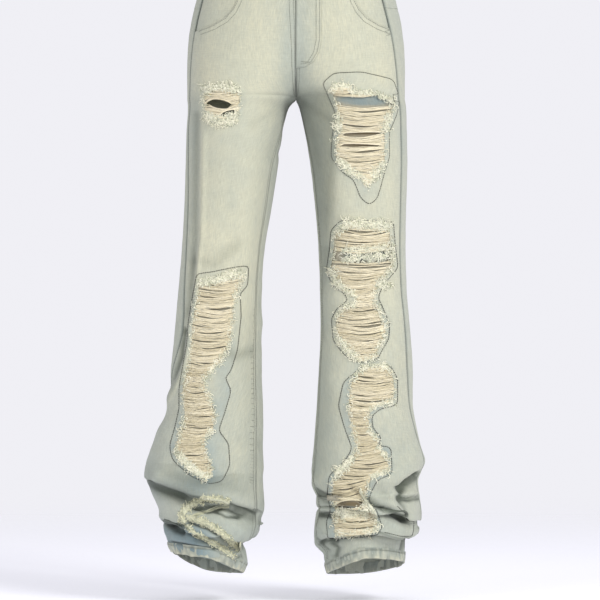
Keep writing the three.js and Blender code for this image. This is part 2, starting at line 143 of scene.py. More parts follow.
class JeansRips(bpy.types.PropertyGroup):
    pitch: size("Pitch", "Distance between loose threads", 0.00100)
    thread: size("Thread", "Radius of a loose thread", 0.00052)
    sag: size("Sag", "How far a wide rip's threads hang down", 0.0052)
    fray: size("Fray", "Length of the fibres round a rip", 0.0084)
    fibre: size("Fibre", "Radius of a fray's fibre", 0.00068)
    stitch: size("Stitch", "Length of a stitch", 0.0030)
    stitch_gap: size("Stitch gap", "Distance between stitches", 0.0007)
    sewing: size("Sewing thread", "Radius of the sewing thread", 0.00072)


class JeansStage(bpy.types.PropertyGroup):
    floor: tone("Floor", "Colour of the floor and the surround", (0.871, 0.868, 0.912))
    distance: size("Camera distance", "From the camera to the jeans", 6.4)
    width: size("View width", "Width of the view at the jeans", 0.96)


def cloth_sizes():
    return bpy.context.scene.jeans_cloth


def wash():
    return bpy.context.scene.jeans_wash


def rip_sizes():
    return bpy.context.scene.jeans_rips


# ---- The sections of the garment, in millimetres

CORNER = 2.25  # exponent of the sections: 2 is an ellipse, more is squarer
WAIST_DIP = 18
HIP_LEVEL = -150
CROTCH_LEVEL = -235
LEG_SEAM = -345
STACK_LEVEL = -770  # below this the cloth bunches over the shoes
# The side seam's place round a leg, in degrees from the outer side, by how far down it is.
OUTSEAM = {
    "right": [(0, 22), (300, 20), (430, 29), (610, 38), (655, 33), (705, -6), (760, -12)],
    "left": [(0, 32), (690, 32), (800, 12)],
}
INSEAM = {"right": 150, "left": 165}

# A ring is (z, outer, inner, front, back): its reach from the middle plane and from the waist's middle.
# z is one height, or eight of them round the leg, from the outer side over the front.
HIP_RINGS = [
    (-38, 153.5, -153.5, 105.5, 105.5), (-72, 162, -158, 110, 113), (-110, 170, -140, 113, 126),
    (-150, 175, -98, 114, 135), (-190, 177, -52, 112, 138), (-215, 177, -23, 110, 136),
    (-228, 177, -8, 109, 133), (CROTCH_LEVEL, 177, 0, 108, 131),
]


def level(heights, by=0, inside=None):
    """The heights of a ring a little above or below a line round the leg, or by inside at the inner side."""
    share = (0, 0, 0, 0.6, 1, 0.6, 0, 0)
    inside = by if inside is None else inside
    return tuple(height + by + (inside - by) * s for height, s in zip(heights, share))


RIGHT_CREST = (-848, -858, -875, -891, -903, -893, -876, -857)
RIGHT_ROLL = (-917, -927, -938, -946, -941, -952, -950, -936)
RIGHT_HEM = (-969, -969, -973, -991, -1003, -1008, -1006, -985)
LEFT_BULGE = (-822, -835, -848, -848, -850, -850, -845, -832)
LEFT_SLANT = (-917, -912, -899, -889, -894, -902, -906, -914)
LEFT_ROLL = (-936, -944, -933, -943, -958, -953, -948, -941)
LEFT_HEM = (-987, -978, -974, -991, -1004, -1010, -1010, -1000)

RINGS = {
    "right": HIP_RINGS
    + [
        (-247, 176, 11, 107, 127), (-285, 178, 20, 105, 118), (-345, 179, 29, 101, 105),
        (-410, 181, 39, 95, 93), (-475, 185, 50, 89, 82), (-540, 190, 55, 84, 73),
        (-610, 196, 56, 80, 71), (-675, 203, 56, 79, 77), (-735, 208, 54, 82, 88),
        ((-788, -792, -800, -806, -812, -808, -802, -794), 230, 53, 88, 100),
        (level(RIGHT_CREST, 27), 242, 52, 99, 111), (level(RIGHT_CREST, 9), 246, 51, 110, 117),
        (RIGHT_CREST, 245, 51, 108, 115), (level(RIGHT_CREST, 7, -5), 243, 52, 92, 104),
        (level(RIGHT_CREST, -9, -12), 241, 53, 86, 101), (level(RIGHT_CREST, -26, -22), 232, 53, 94, 105),
        (level(RIGHT_ROLL, 15), 220, 56, 105, 110), (RIGHT_ROLL, 218, 63, 103, 108),
        (level(RIGHT_ROLL, 5, -5), 212, 71, 91, 99), (level(RIGHT_ROLL, -7, -13), 214, 82, 87, 97),
        (level(RIGHT_HEM, 18), 208, 78, 90, 99), (RIGHT_HEM, 201, 86, 92, 101),
    ],
    "left": HIP_RINGS
    + [
        (-247, 179, 5, 107, 127), (-285, 180, 14, 105, 118), (-345, 180, 24, 101, 105),
        (-410, 178, 31, 95, 93), (-475, 177, 36, 89, 82), (-540, 179, 38, 84, 73),
        (-610, 186, 39, 80, 71), (-675, 190, 36, 79, 77), (-735, 190, 33, 82, 88),
        (level(LEFT_BULGE, 32), 201, 27, 88, 101), (LEFT_BULGE, 209, 25, 94, 107),
        (level(LEFT_BULGE, -14), 203, 27, 92, 105), (level(LEFT_BULGE, -28), 197, 33, 89, 99),
        (level(LEFT_SLANT, 14), 204, 33, 101, 108), (LEFT_SLANT, 203, 34, 100, 107),
        (level(LEFT_SLANT, 5, -4), 198, 37, 90, 99), (level(LEFT_SLANT, -8, -10), 198, 34, 89, 98),
        (level(LEFT_ROLL, 6), 201, 30, 105, 111), (LEFT_ROLL, 198, 32, 104, 110),
        (level(LEFT_ROLL, 6, -5), 187, 38, 92, 101), (level(LEFT_ROLL, -7, -14), 179, 46, 88, 98),
        (level(LEFT_HEM, 18), 177, 48, 90, 98), (LEFT_HEM, 176, 51, 92, 100),
    ],
}


def round_leg(heights, angle):
    """A height that passes smoothly through eight keys round the leg."""
    if np.isscalar(heights):
        return np.full_like(angle, float(heights))
    at = (np.mod(angle, 360) / 360) * len(heights)
    i = np.floor(at).astype(int)
    t = at - i
    a, b, c, d = (np.array(heights, float)[(i + k) % len(heights)] for k in (-1, 0, 1, 2))
    return b + 0.5 * t * (c - a + t * (2 * a - 5 * b + 4 * c - d + t * (3 * (b - c) + d - a)))


def inseam_angle(leg, ring):
    """Where the front and back panels end on a ring: the rise above the crotch, the inseam below."""
    heights, outer, inner = ring[:3]
    if inner <= 0:
        cosine = min(1, (outer + inner) / (outer - inner)) ** (CORNER / 2)
        return 180 - math.degrees(math.acos(cosine))
    top = heights if np.isscalar(heights) else heights[0]
    down = min(1, (CROTCH_LEVEL - top) / (CROTCH_LEVEL - LEG_SEAM))
    return 180 + (INSEAM[leg] - 180) * down


def outseam_angle(leg, ring):
    """Where the front and back panels meet on a ring's outer side."""
    top = ring[0] if np.isscalar(ring[0]) else ring[0][0]
    down, angle = zip(*OUTSEAM[leg])
    return float(np.interp(-top, down, angle))


def ring_points(leg, ring, angle, out=0.0):
    """Points of the cloth's outer face on a ring, at angles round the leg, in metres."""
    heights, outer, inner, front, back = ring
    cosine, sine = np.cos(np.radians(angle)), np.sin(np.radians(angle))
    across = (outer - inner) / 2 * np.sign(cosine) * np.abs(cosine) ** (2 / CORNER)
    along = -(front + back) / 2 * np.sign(sine) * np.abs(sine) ** (2 / CORNER)
    reach = 1 + out / np.hypot(across, along)
    height = round_leg(heights, angle)
    dip = WAIST_DIP * ramp(height, HIP_LEVEL, -HIP_LEVEL) * (1 + sine) / 2
    x = SIDES[leg] * ((outer + inner) / 2 + across * reach)
    y = (back - front) / 2 + along * reach
    return np.stack([x, y, height - dip], axis=-1) * MM


def splined(keys, steps):
    """Centripetal Catmull-Rom curves through the keys along the first axis, with steps rows a span."""
    first, last = 2 * keys[0] - keys[1], 2 * keys[-1] - keys[-2]
    p = np.concatenate([first[None], keys, last[None]])
    knot = np.sqrt(np.linalg.norm(np.diff(p, axis=0), axis=-1, keepdims=True)) + 1e-6
    rows = []
    for i, count in enumerate(steps):
        d0, d1, d2 = knot[i], knot[i + 1], knot[i + 2]
        t0, t1, t2, t3 = 0 * d0, d0, d0 + d1, d0 + d1 + d2
        for k in range(count + (i == len(steps) - 1)):
            t = t1 + (t2 - t1) * (k / count)
            a = [
                ((hi - t) * p[i + j] + (t - lo) * p[i + j + 1]) / (hi - lo)
                for j, (lo, hi) in enumerate([(t0, t1), (t1, t2), (t2, t3)])
            ]
            b0 = ((t2 - t) * a[0] + (t - t0) * a[1]) / (t2 - t0)
            b1 = ((t3 - t) * a[1] + (t - t1) * a[2]) / (t3 - t1)
            rows.append(((t2 - t) * b0 + (t - t1) * b1) / (t2 - t1))
    return np.array(rows)


# ---- Folds and creases, in millimetres in the front view (x, z)

# (points, half-width, height): a ridge stands out and a trough goes in. A lip is a ridge whose lower
# side falls into a trough, as where a fold hangs over the cloth below it. Troughs and the cloth under
# a lip are given painted shade, and ridges less of it.
RIDGES = {
    "right": [
        ([(-147, -296), (-149, -400), (-150, -454), (-155, -491), (-160, -560), (-168, -608)], 4, 2.4),
        ([(-168, -608), (-174, -651), (-186, -688), (-202, -717), (-226, -757)], 4.5, 5.0),
        ([(-70, -560), (-120, -590), (-170, -600)], 15, 2.2),
        ([(-200, -700), (-150, -745), (-90, -765)], 18, 2.4),
        ([(-225, -770), (-180, -800), (-90, -812)], 16, 2.6),
        ([(-90, -300), (-70, -420), (-74, -520)], 13, 1.4),
        ([(-222, -846), (-180, -858), (-120, -868), (-70, -886)], 11, 3.4),
        ([(-200, -885), (-180, -895)], 13, 4.5), ([(-118, -906), (-96, -920), (-84, -934)], 10, 5.0),
        ([(-172, -905), (-150, -914), (-128, -928)], 4, 3.0),
        ([(-86, -962), (-78, -974), (-90, -990)], 6, 3.2), ([(-196, -944), (-170, -944)], 5, 2.2),
    ],
    "left": [
        ([(60, -300), (70, -420), (75, -520)], 13, 1.4),
        ([(60, -560), (110, -585), (165, -580)], 15, 2.0),
        ([(50, -690), (100, -740), (180, -760)], 17, 2.2),
        ([(200, -800), (180, -822), (160, -838)], 13, 5.0),
        ([(142, -850), (150, -872), (152, -884)], 10, 5.0), ([(184, -868), (190, -873)], 6, 3.0),
        ([(188, -890), (186, -912)], 8, 4.0), ([(130, -905), (150, -918), (180, -930)], 7, 4.5),
        ([(34, -850), (50, -846), (62, -858)], 9, 3.6), ([(36, -926), (46, -932), (52, -940)], 9, 4.0),
        ([(96, -946), (130, -941), (158, -948)], 8, 4.0),
    ],
}
TROUGHS = {
    "right": [
        ([(-160, -262), (-162, -380), (-163, -454), (-167, -500), (-172, -560), (-180, -608)], 7, 2.2),
        ([(-179, -608), (-185, -651), (-197, -684), (-212, -708)], 5, 3.6),
        ([(-14, -244), (-40, -262), (-72, -280)], 7, 0.7),
        ([(-12, -240), (-30, -285), (-44, -330)], 8, 0.7),
        ([(-90, -470), (-130, -500), (-160, -498)], 12, 1.5),
        ([(-60, -640), (-95, -650), (-120, -640)], 11, 1.8),
        ([(-232, -858), (-205, -866), (-180, -873)], 7, 6.0),
        ([(-126, -900), (-112, -908), (-93, -909)], 3.2, 4.0),
        ([(-160, -893), (-140, -899), (-118, -893)], 3.2, 4.5),
        ([(-204, -921), (-194, -929), (-184, -932)], 5, 10.0),
        ([(-170, -916), (-140, -925), (-118, -941)], 3.4, 5.5),
        ([(-92, -955), (-82, -966), (-98, -982)], 3.4, 6.0),
        ([(-96, -896), (-78, -908), (-64, -914)], 6, 2.4),
        ([(-198, -950), (-176, -953), (-130, -958)], 2.6, 3.4),
    ],
    "left": [
        ([(14, -244), (38, -262), (60, -276)], 7, 0.7), ([(12, -240), (26, -290), (36, -340)], 8, 0.8),
        ([(50, -480), (36, -560), (40, -620)], 8, 1.6), ([(196, -843), (178, -853), (167, -864)], 6, 6.5),
        ([(168, -868), (163, -880), (172, -890), (177, -902)], 3.6, 3.0),
        ([(122, -884), (142, -894), (172, -912)], 5.5, 9.0),
        ([(32, -868), (50, -876), (70, -882)], 6, 5.0), ([(34, -906), (50, -905), (68, -906)], 4.0, 5.0),
        ([(40, -952), (50, -944), (64, -946)], 4.2, 7.0),
        ([(60, -952), (68, -958), (64, -970)], 4.6, 2.4),
        ([(88, -862), (100, -872), (112, -880)], 5.5, 6.0),
        ([(176, -946), (172, -960), (168, -968)], 3.5, 4.0),
    ],
}
LIPS = {
    "right": [
        ([(-110, -944), (-94, -952), (-74, -956)], 4.2, 3.0),
        ([(-212, -914), (-198, -919), (-182, -917)], 3.6, 4.0),
        ([(-124, -888), (-104, -896), (-90, -903)], 4.0, 2.2),
        ([(-168, -892), (-150, -890), (-128, -888)], 3.2, 2.6),
    ],
    "left": [
        ([(164, -873), (178, -876), (196, -875)], 3.4, 4.0),
        ([(34, -903), (48, -901), (64, -901)], 3.6, 3.4),
        ([(118, -878), (140, -888), (172, -904)], 4.0, 5.0),
        ([(192, -838), (176, -848), (164, -858)], 4.0, 4.5),
    ],
}
# (points, width, depth of painted shade): painted shadow under the edge of a fold or in a crease,
# darkest at the line and fading downwards, or painted shade on a fold's underside, fading upwards
# where the width is negative.
PAINTED_SHADOWS = {
    "right": [
        ([(-195, -822), (-150, -846), (-95, -838)], 30, 0.30),
        ([(-236, -852), (-194, -864), (-146, -876)], 19, 1.25),
        ([(-236, -852), (-194, -864), (-146, -876), (-111, -881), (-84, -893), (-60, -906)], -22, 0.55),
        ([(-146, -876), (-111, -881), (-84, -893), (-60, -906)], 5, 0.9),
        ([(-104, -884), (-80, -896), (-62, -908)], 9, 0.4),
        ([(-208, -917), (-196, -921), (-180, -919)], 14, 1.0),
        ([(-172, -933), (-150, -944), (-121, -961), (-104, -973)], 5, 0.9),
        ([(-130, -897), (-112, -907), (-92, -906)], 6, 0.6),
        ([(-98, -951), (-86, -955), (-74, -957)], 4.5, 0.9),
        ([(-88, -960), (-80, -974), (-88, -992)], 3, 0.6),
        ([(-170, -909), (-150, -915), (-128, -929)], 3, 0.5),
        ([(-200, -948), (-176, -952), (-130, -957)], 3, 0.5),
    ],
    "left": [
        ([(196, -848), (176, -859), (165, -876)], 7, 0.8),
        ([(40, -905), (60, -903), (76, -902)], -14, 0.25),
        ([(120, -884), (144, -893), (160, -905), (178, -914)], 6.5, 1.0),
        ([(170, -879), (182, -882), (198, -881)], 4, 0.8),
        ([(44, -951), (61, -946), (87, -938), (109, -934), (134, -931), (163, -940), (182, -942)], 6, 0.9),
        ([(32, -908), (60, -909), (76, -910)], 5, 0.6), ([(56, -952), (66, -957), (62, -970)], 5, 0.45),
        ([(36, -944), (44, -955), (52, -962)], 4, 0.7), ([(28, -868), (44, -882), (62, -890)], 8, 0.6),
        ([(166, -872), (164, -886), (176, -902)], 3, 0.25),
    ],
}
# The same kinds on the back of a leg, the same way for both: x is the distance from the middle plane.
BACK_RIDGES = [
    ([(70, -518), (120, -533), (160, -522)], 11, 2.6), ([(66, -580), (115, -592), (162, -578)], 11, 3.0),
    ([(80, -640), (130, -652), (168, -642)], 12, 2.4), ([(60, -270), (105, -285), (150, -262)], 10, 2.6),
    ([(90, -700), (130, -735), (172, -752)], 16, 2.4), ([(70, -820), (120, -838), (190, -826)], 12, 3.2),
]
BACK_TROUGHS = [
    ([(70, -548), (120, -561), (162, -549)], 9, 3.2), ([(72, -609), (125, -623), (166, -608)], 10, 2.6),
    ([(20, -258), (70, -266), (130, -250)], 10, 3.0), ([(30, -300), (60, -310), (95, -300)], 8, 2.4),
    ([(66, -776), (130, -796), (180, -788)], 12, 3.0), ([(60, -902), (110, -916), (176, -901)], 8, 4.6),
    ([(70, -940), (130, -930), (184, -943)], 7, 4.0),
]


def lattice_noise(points, scale, seed):
    """Smooth noise from -1 to 1 at points, with features about scale across."""
    p = np.asarray(points) / scale
    cell = np.floor(p).astype(np.int64)
    t = p - cell
    t = t * t * (3 - 2 * t)
    total = 0.0
    for corner in np.ndindex(*(2,) * p.shape[-1]):
        at = (cell + np.array(corner)).astype(np.uint64)
        key = np.full(at.shape[:-1], seed * 7919 + 17, np.uint64)
        for k, prime in zip(range(at.shape[-1]), (73856093, 19349663, 83492791)):
            key = (key ^ (at[..., k] * np.uint64(prime))) * np.uint64(2654435761)
        value = ((key >> np.uint64(13)) & np.uint64(0xFFFF)).astype(float) / 32767.5 - 1
        weight = np.prod(np.where(np.array(corner), t, 1 - t), axis=-1)
        total = total + value * weight
    return total


def from_line(flat, line):
    """Distance of flat points from a line of points, and how far above it they lie."""
    best, above = np.full(len(flat), np.inf), np.zeros(len(flat))
    line = np.array(line, float)
    for a, b in zip(line, line[1:]):
        along = b - a
        t = np.clip(((flat - a) @ along) / (along @ along), 0, 1)
        gap = flat - (a + t[:, None] * along)
        distance = np.hypot(gap[:, 0], gap[:, 1])
        nearer = distance < best
        best = np.where(nearer, distance, best)
        above = np.where(nearer, gap[:, 1], above)
    return best, above


def bumps(flat, ridges, troughs, lips=(), shadow_lines=()):
    """How far the creases move each point out, in millimetres, and how much painted shade lies on it:
    more in troughs, under lips and along the painted shadows, less on ridges.
    """
    out, shade = np.zeros(len(flat)), np.zeros(len(flat))
    for line, width, height in ridges:
        shape = bell(from_line(flat, line)[0], width)
        out += height * shape
        shade -= 0.25 * shape
    for line, width, height in troughs:
        shape = bell(from_line(flat, line)[0], width)
        out -= height * shape
        # painted shade in a trough
        shade += 0.5 * shape * min(1, height / 5)
    for line, width, height in lips:
        distance, above = from_line(flat, line)
        inside = bell(distance, 2 * width)
        out += height * inside * np.tanh((above - 0.3 * width) / (0.5 * width))
        # painted shadow under a lip
        shade += 0.5 * inside * (above < 0)
    for line, width, shadow_depth in shadow_lines:
        distance, above = from_line(flat, line)
        reach = np.where(above * np.sign(width) > 0, 1.3, abs(width))
        # painted shadow along the line, with a thin dark core
        shade += shadow_depth * (0.6 * bell(distance, reach) + 0.4 * bell(distance, 1.6))
    return out, shade


# ---- Rips, patches, pockets: outlines in millimetres in the front view (x, z)

RIPS = {
    "thigh_right": [
        (-146, -226), (-120, -221), (-93, -226), (-89, -246),
        (-95, -264), (-119, -270), (-141, -265), (-148, -246),
    ],
    "shin_right": [
        (-156, -533), (-128, -529), (-88, -517), (-86, -531), (-98, -556), (-102, -600), (-106, -630),
        (-119, -655), (-135, -672), (-149, -690), (-143, -706), (-136, -722), (-130, -745), (-133, -768),
        (-149, -786), (-143, -806), (-134, -832), (-141, -847), (-162, -832), (-188, -812), (-193, -798),
        (-186, -772), (-178, -752), (-182, -704), (-175, -672), (-168, -635), (-166, -600), (-160, -560),
    ],
    "thigh_left": [
        (56, -218), (84, -218), (92, -229), (122, -228), (158, -241), (153, -262), (141, -290),
        (142, -340), (131, -361), (119, -369), (115, -382), (108, -366), (86, -354), (64, -336),
        (64, -309), (69, -290), (65, -258),
    ],
    "knee_left": [
        (80, -440), (150, -442), (152, -470), (157, -506), (133, -533), (123, -556), (132, -575),
        (144, -600), (143, -618), (131, -638), (128, -652), (104, -658), (86, -645), (66, -622),
        (63, -592), (72, -575), (98, -564), (96, -552), (70, -540), (55, -512), (60, -480), (62, -455),
    ],
    "shin_left": [
        (106, -668), (146, -664), (157, -686), (157, -724), (128, -728), (114, -742), (117, -768),
        (132, -783), (130, -796), (148, -814), (149, -834), (120, -843), (112, -868), (108, -882),
        (122, -900), (131, -922), (124, -931), (92, -934), (64, -938), (60, -916), (64, -896),
        (57, -874), (60, -846), (84, -824), (98, -798), (90, -762), (84, -730), (88, -692),
    ],
}
PATCHES = {
    "shin_right": [
        (-159, -518), (-134, -515), (-96, -507), (-76, -505), (-78, -538), (-90, -549), (-88, -585),
        (-94, -640), (-105, -675), (-114, -684), (-104, -705), (-114, -740), (-124, -769), (-108, -790),
        (-106, -825), (-118, -850), (-138, -854), (-168, -842), (-198, -816), (-203, -795), (-194, -762),
        (-188, -735), (-188, -700), (-181, -662), (-175, -630), (-173, -595), (-166, -555),
    ],
    "thigh_left": [
        (42, -214), (54, -240), (64, -264), (58, -296), (56, -332), (74, -356), (92, -368), (104, -398),
        (117, -408), (130, -398), (139, -366), (150, -330), (149, -292), (162, -262), (167, -236),
        (156, -206), (104, -196), (60, -198),
    ],
    "knee_left": [
        (72, -432), (110, -433), (156, -434), (159, -470), (164, -508), (140, -536), (131, -556),
        (139, -572), (150, -598), (149, -622), (137, -642), (132, -654), (102, -661), (80, -651),
        (60, -626), (57, -590), (66, -573), (84, -560), (76, -548), (58, -536), (49, -512), (54, -478),
        (56, -448),
    ],
    "shin_left": [
        (104, -668), (150, -663), (163, -686), (163, -728), (134, -735), (121, -746), (123, -765),
        (137, -781), (131, -793), (152, -796), (154, -838), (130, -848), (120, -868), (116, -880),
        (130, -898), (138, -924), (128, -937), (92, -941), (51, -944), (49, -915), (56, -898), (50, -874),
        (53, -842), (78, -818), (90, -798), (78, -765), (68, -730), (76, -692),
    ],
}
RIPS_OF = {
    "right": ["thigh_right", "shin_right"],
    "left": ["thigh_left", "knee_left", "shin_left"],
}
CAD_NAME = {
    "thigh_right": "thighRight",
    "shin_right": "shinRight",
    "thigh_left": "thighLeft",
    "knee_left": "kneeLeft",
    "shin_left": "shinLeft",
}
# Holes between a rip's threads, which bunch round them, with painted shade on the patch behind:
# (x, z, half-width, half-height, slope).
HOLES = {
    "thigh_right": [(-122, -247, 19, 7.2, -0.16), (-108, -261.5, 13, 3.8, 0.26)],
    "thigh_left": [(110, -294, 36, 1.5, 0.02), (104, -313, 34, 1.9, -0.03)],
    "shin_left": [(86, -887, 21, 6.5, 0.08)],
}
# Heights where a rip's threads have come away, and how high the bare place is there.
BARE = {
    "thigh_right": [],
    "shin_right": [(-661, 1.6, -180, -130), (-760, 2.0, -190, -150)],
    "thigh_left": [(-240, 17, 66, 158)],
    "knee_left": [(-488, 17, 78, 154), (-501, 3.5, 62, 156), (-594, 2.4, 70, 140)],
    "shin_left": [(-724, 2.4, 92, 130), (-842, 3.0, 66, 104), (-896, 7, 68, 112)],
}


def pocket_mouth(side, out=0):
    """The opening of a front pocket: a curve from the waistband to the side seam."""
    line = [(86, -30), (87, -54), (92, -76), (101, -94), (114, -108), (134, -119), (160, -127), (196, -132)]
    return [(side * (x - 0.7 * out), z - out) for x, z in line] + [(side * 205, -30)]


def yoke_seam(x):
    """Height of the seam under the yoke, at a distance from the middle of the back."""
    return np.interp(np.abs(x), [0, 90, 200], [-122, -98, -84])


def back_pocket(side):
    """A back pocket's outline."""
    return [(side * x, z) for x, z in [(26, -142), (142, -130), (132, -246), (82, -268), (40, -256)]]


def fly():
    """The fly flap's outline, on the wearer's left front."""
    return [(-6, -30), (40, -30), (40, -146), (37, -164), (28, -180), (14, -188), (-6, -190)]


def rounded(points, radius=5.0):
    """A closed outline through the points' middles, with its corners softened."""
    p = np.array(points, float)
    before, after = np.roll(p, 1, axis=0) - p, np.roll(p, -1, axis=0) - p
    line = []
    for corner, b, a in zip(p, before, after):
        start = corner + b * min(0.45, radius / np.hypot(*b))
        end = corner + a * min(0.45, radius / np.hypot(*a))
        for t in np.linspace(0, 1, 4):
            line.append(start * (1 - t) ** 2 + 2 * corner * t * (1 - t) + end * t * t)
    return np.array(line)


def inside_of(flat, outline):
    """Signed distance of flat points from a closed outline: more than zero inside."""
    a = np.asarray(outline, float)
    b = np.roll(a, -1, axis=0)
    best, crossings = np.full(len(flat), np.inf), np.zeros(len(flat), int)
    for (ax, az), (bx, bz) in zip(a, b):
        dx, dz = bx - ax, bz - az
        t = np.clip(((flat[:, 0] - ax) * dx + (flat[:, 1] - az) * dz) / (dx * dx + dz * dz + 1e-12), 0, 1)
        best = np.minimum(best, np.hypot(flat[:, 0] - ax - t * dx, flat[:, 1] - az - t * dz))
        if dz:
            spans = (az > flat[:, 1]) != (bz > flat[:, 1])
            crossings += spans & (flat[:, 0] < ax + (flat[:, 1] - az) / dz * dx)
    return np.where(crossings % 2 == 1, best, -best)


# ---- Panels


def blurred(grid, reach):
    """A grid of points, smoothed by averaging each point with its neighbours."""
    for _ in range(reach):
        for axis in (0, 1):
            ends = [(1, 1) if k == axis else (0, 0) for k in range(3)]
            wide = np.pad(grid, ends, mode="edge")
            before, after = (np.take(wide, range(k, grid.shape[axis] + k), axis) for k in (0, 2))
            grid = grid / 2 + (before + after) / 4
    return grid


# Heights down the leg for the wash's middle and width, and how strong it is at others.
WORN_HEIGHTS = [235, 400, 560, 700, 850, 1000]
WORN_DEPTH = [0, 200, 420, 600, 690, 770, 850, 1000], [0.55, 0.92, 0.95, 0.85, 0.60, 0.26, 0.16, 0.12]
# The right leg's long front crease: heights, and how far out it is there.
SWEEP = [454, 491, 560, 608, 651, 688, 717, 757], [149.5, 155, 160, 168, 174, 186, 202, 226]
STACK_BLUE = {"right": 0.24, "left": 0.10}  # how much blue is left in the folds above the hems
KNEE_LEVEL, HEM_LEVEL, BAND_LEVEL = -560, -1010, -30
FLAT_WIDTHS = {"front": 260, "back": 340}  # about the width of a panel, for what lies along its edges
LONG_FOLD = 161  # how far out the right thigh's long fold runs
WIDTHS = {"front": 0.26, "back": 0.21}  # over which a panel's columns are spread, in metres
BACK_SHADE = 0.3  # the painted shade in the creases at the back is weaker
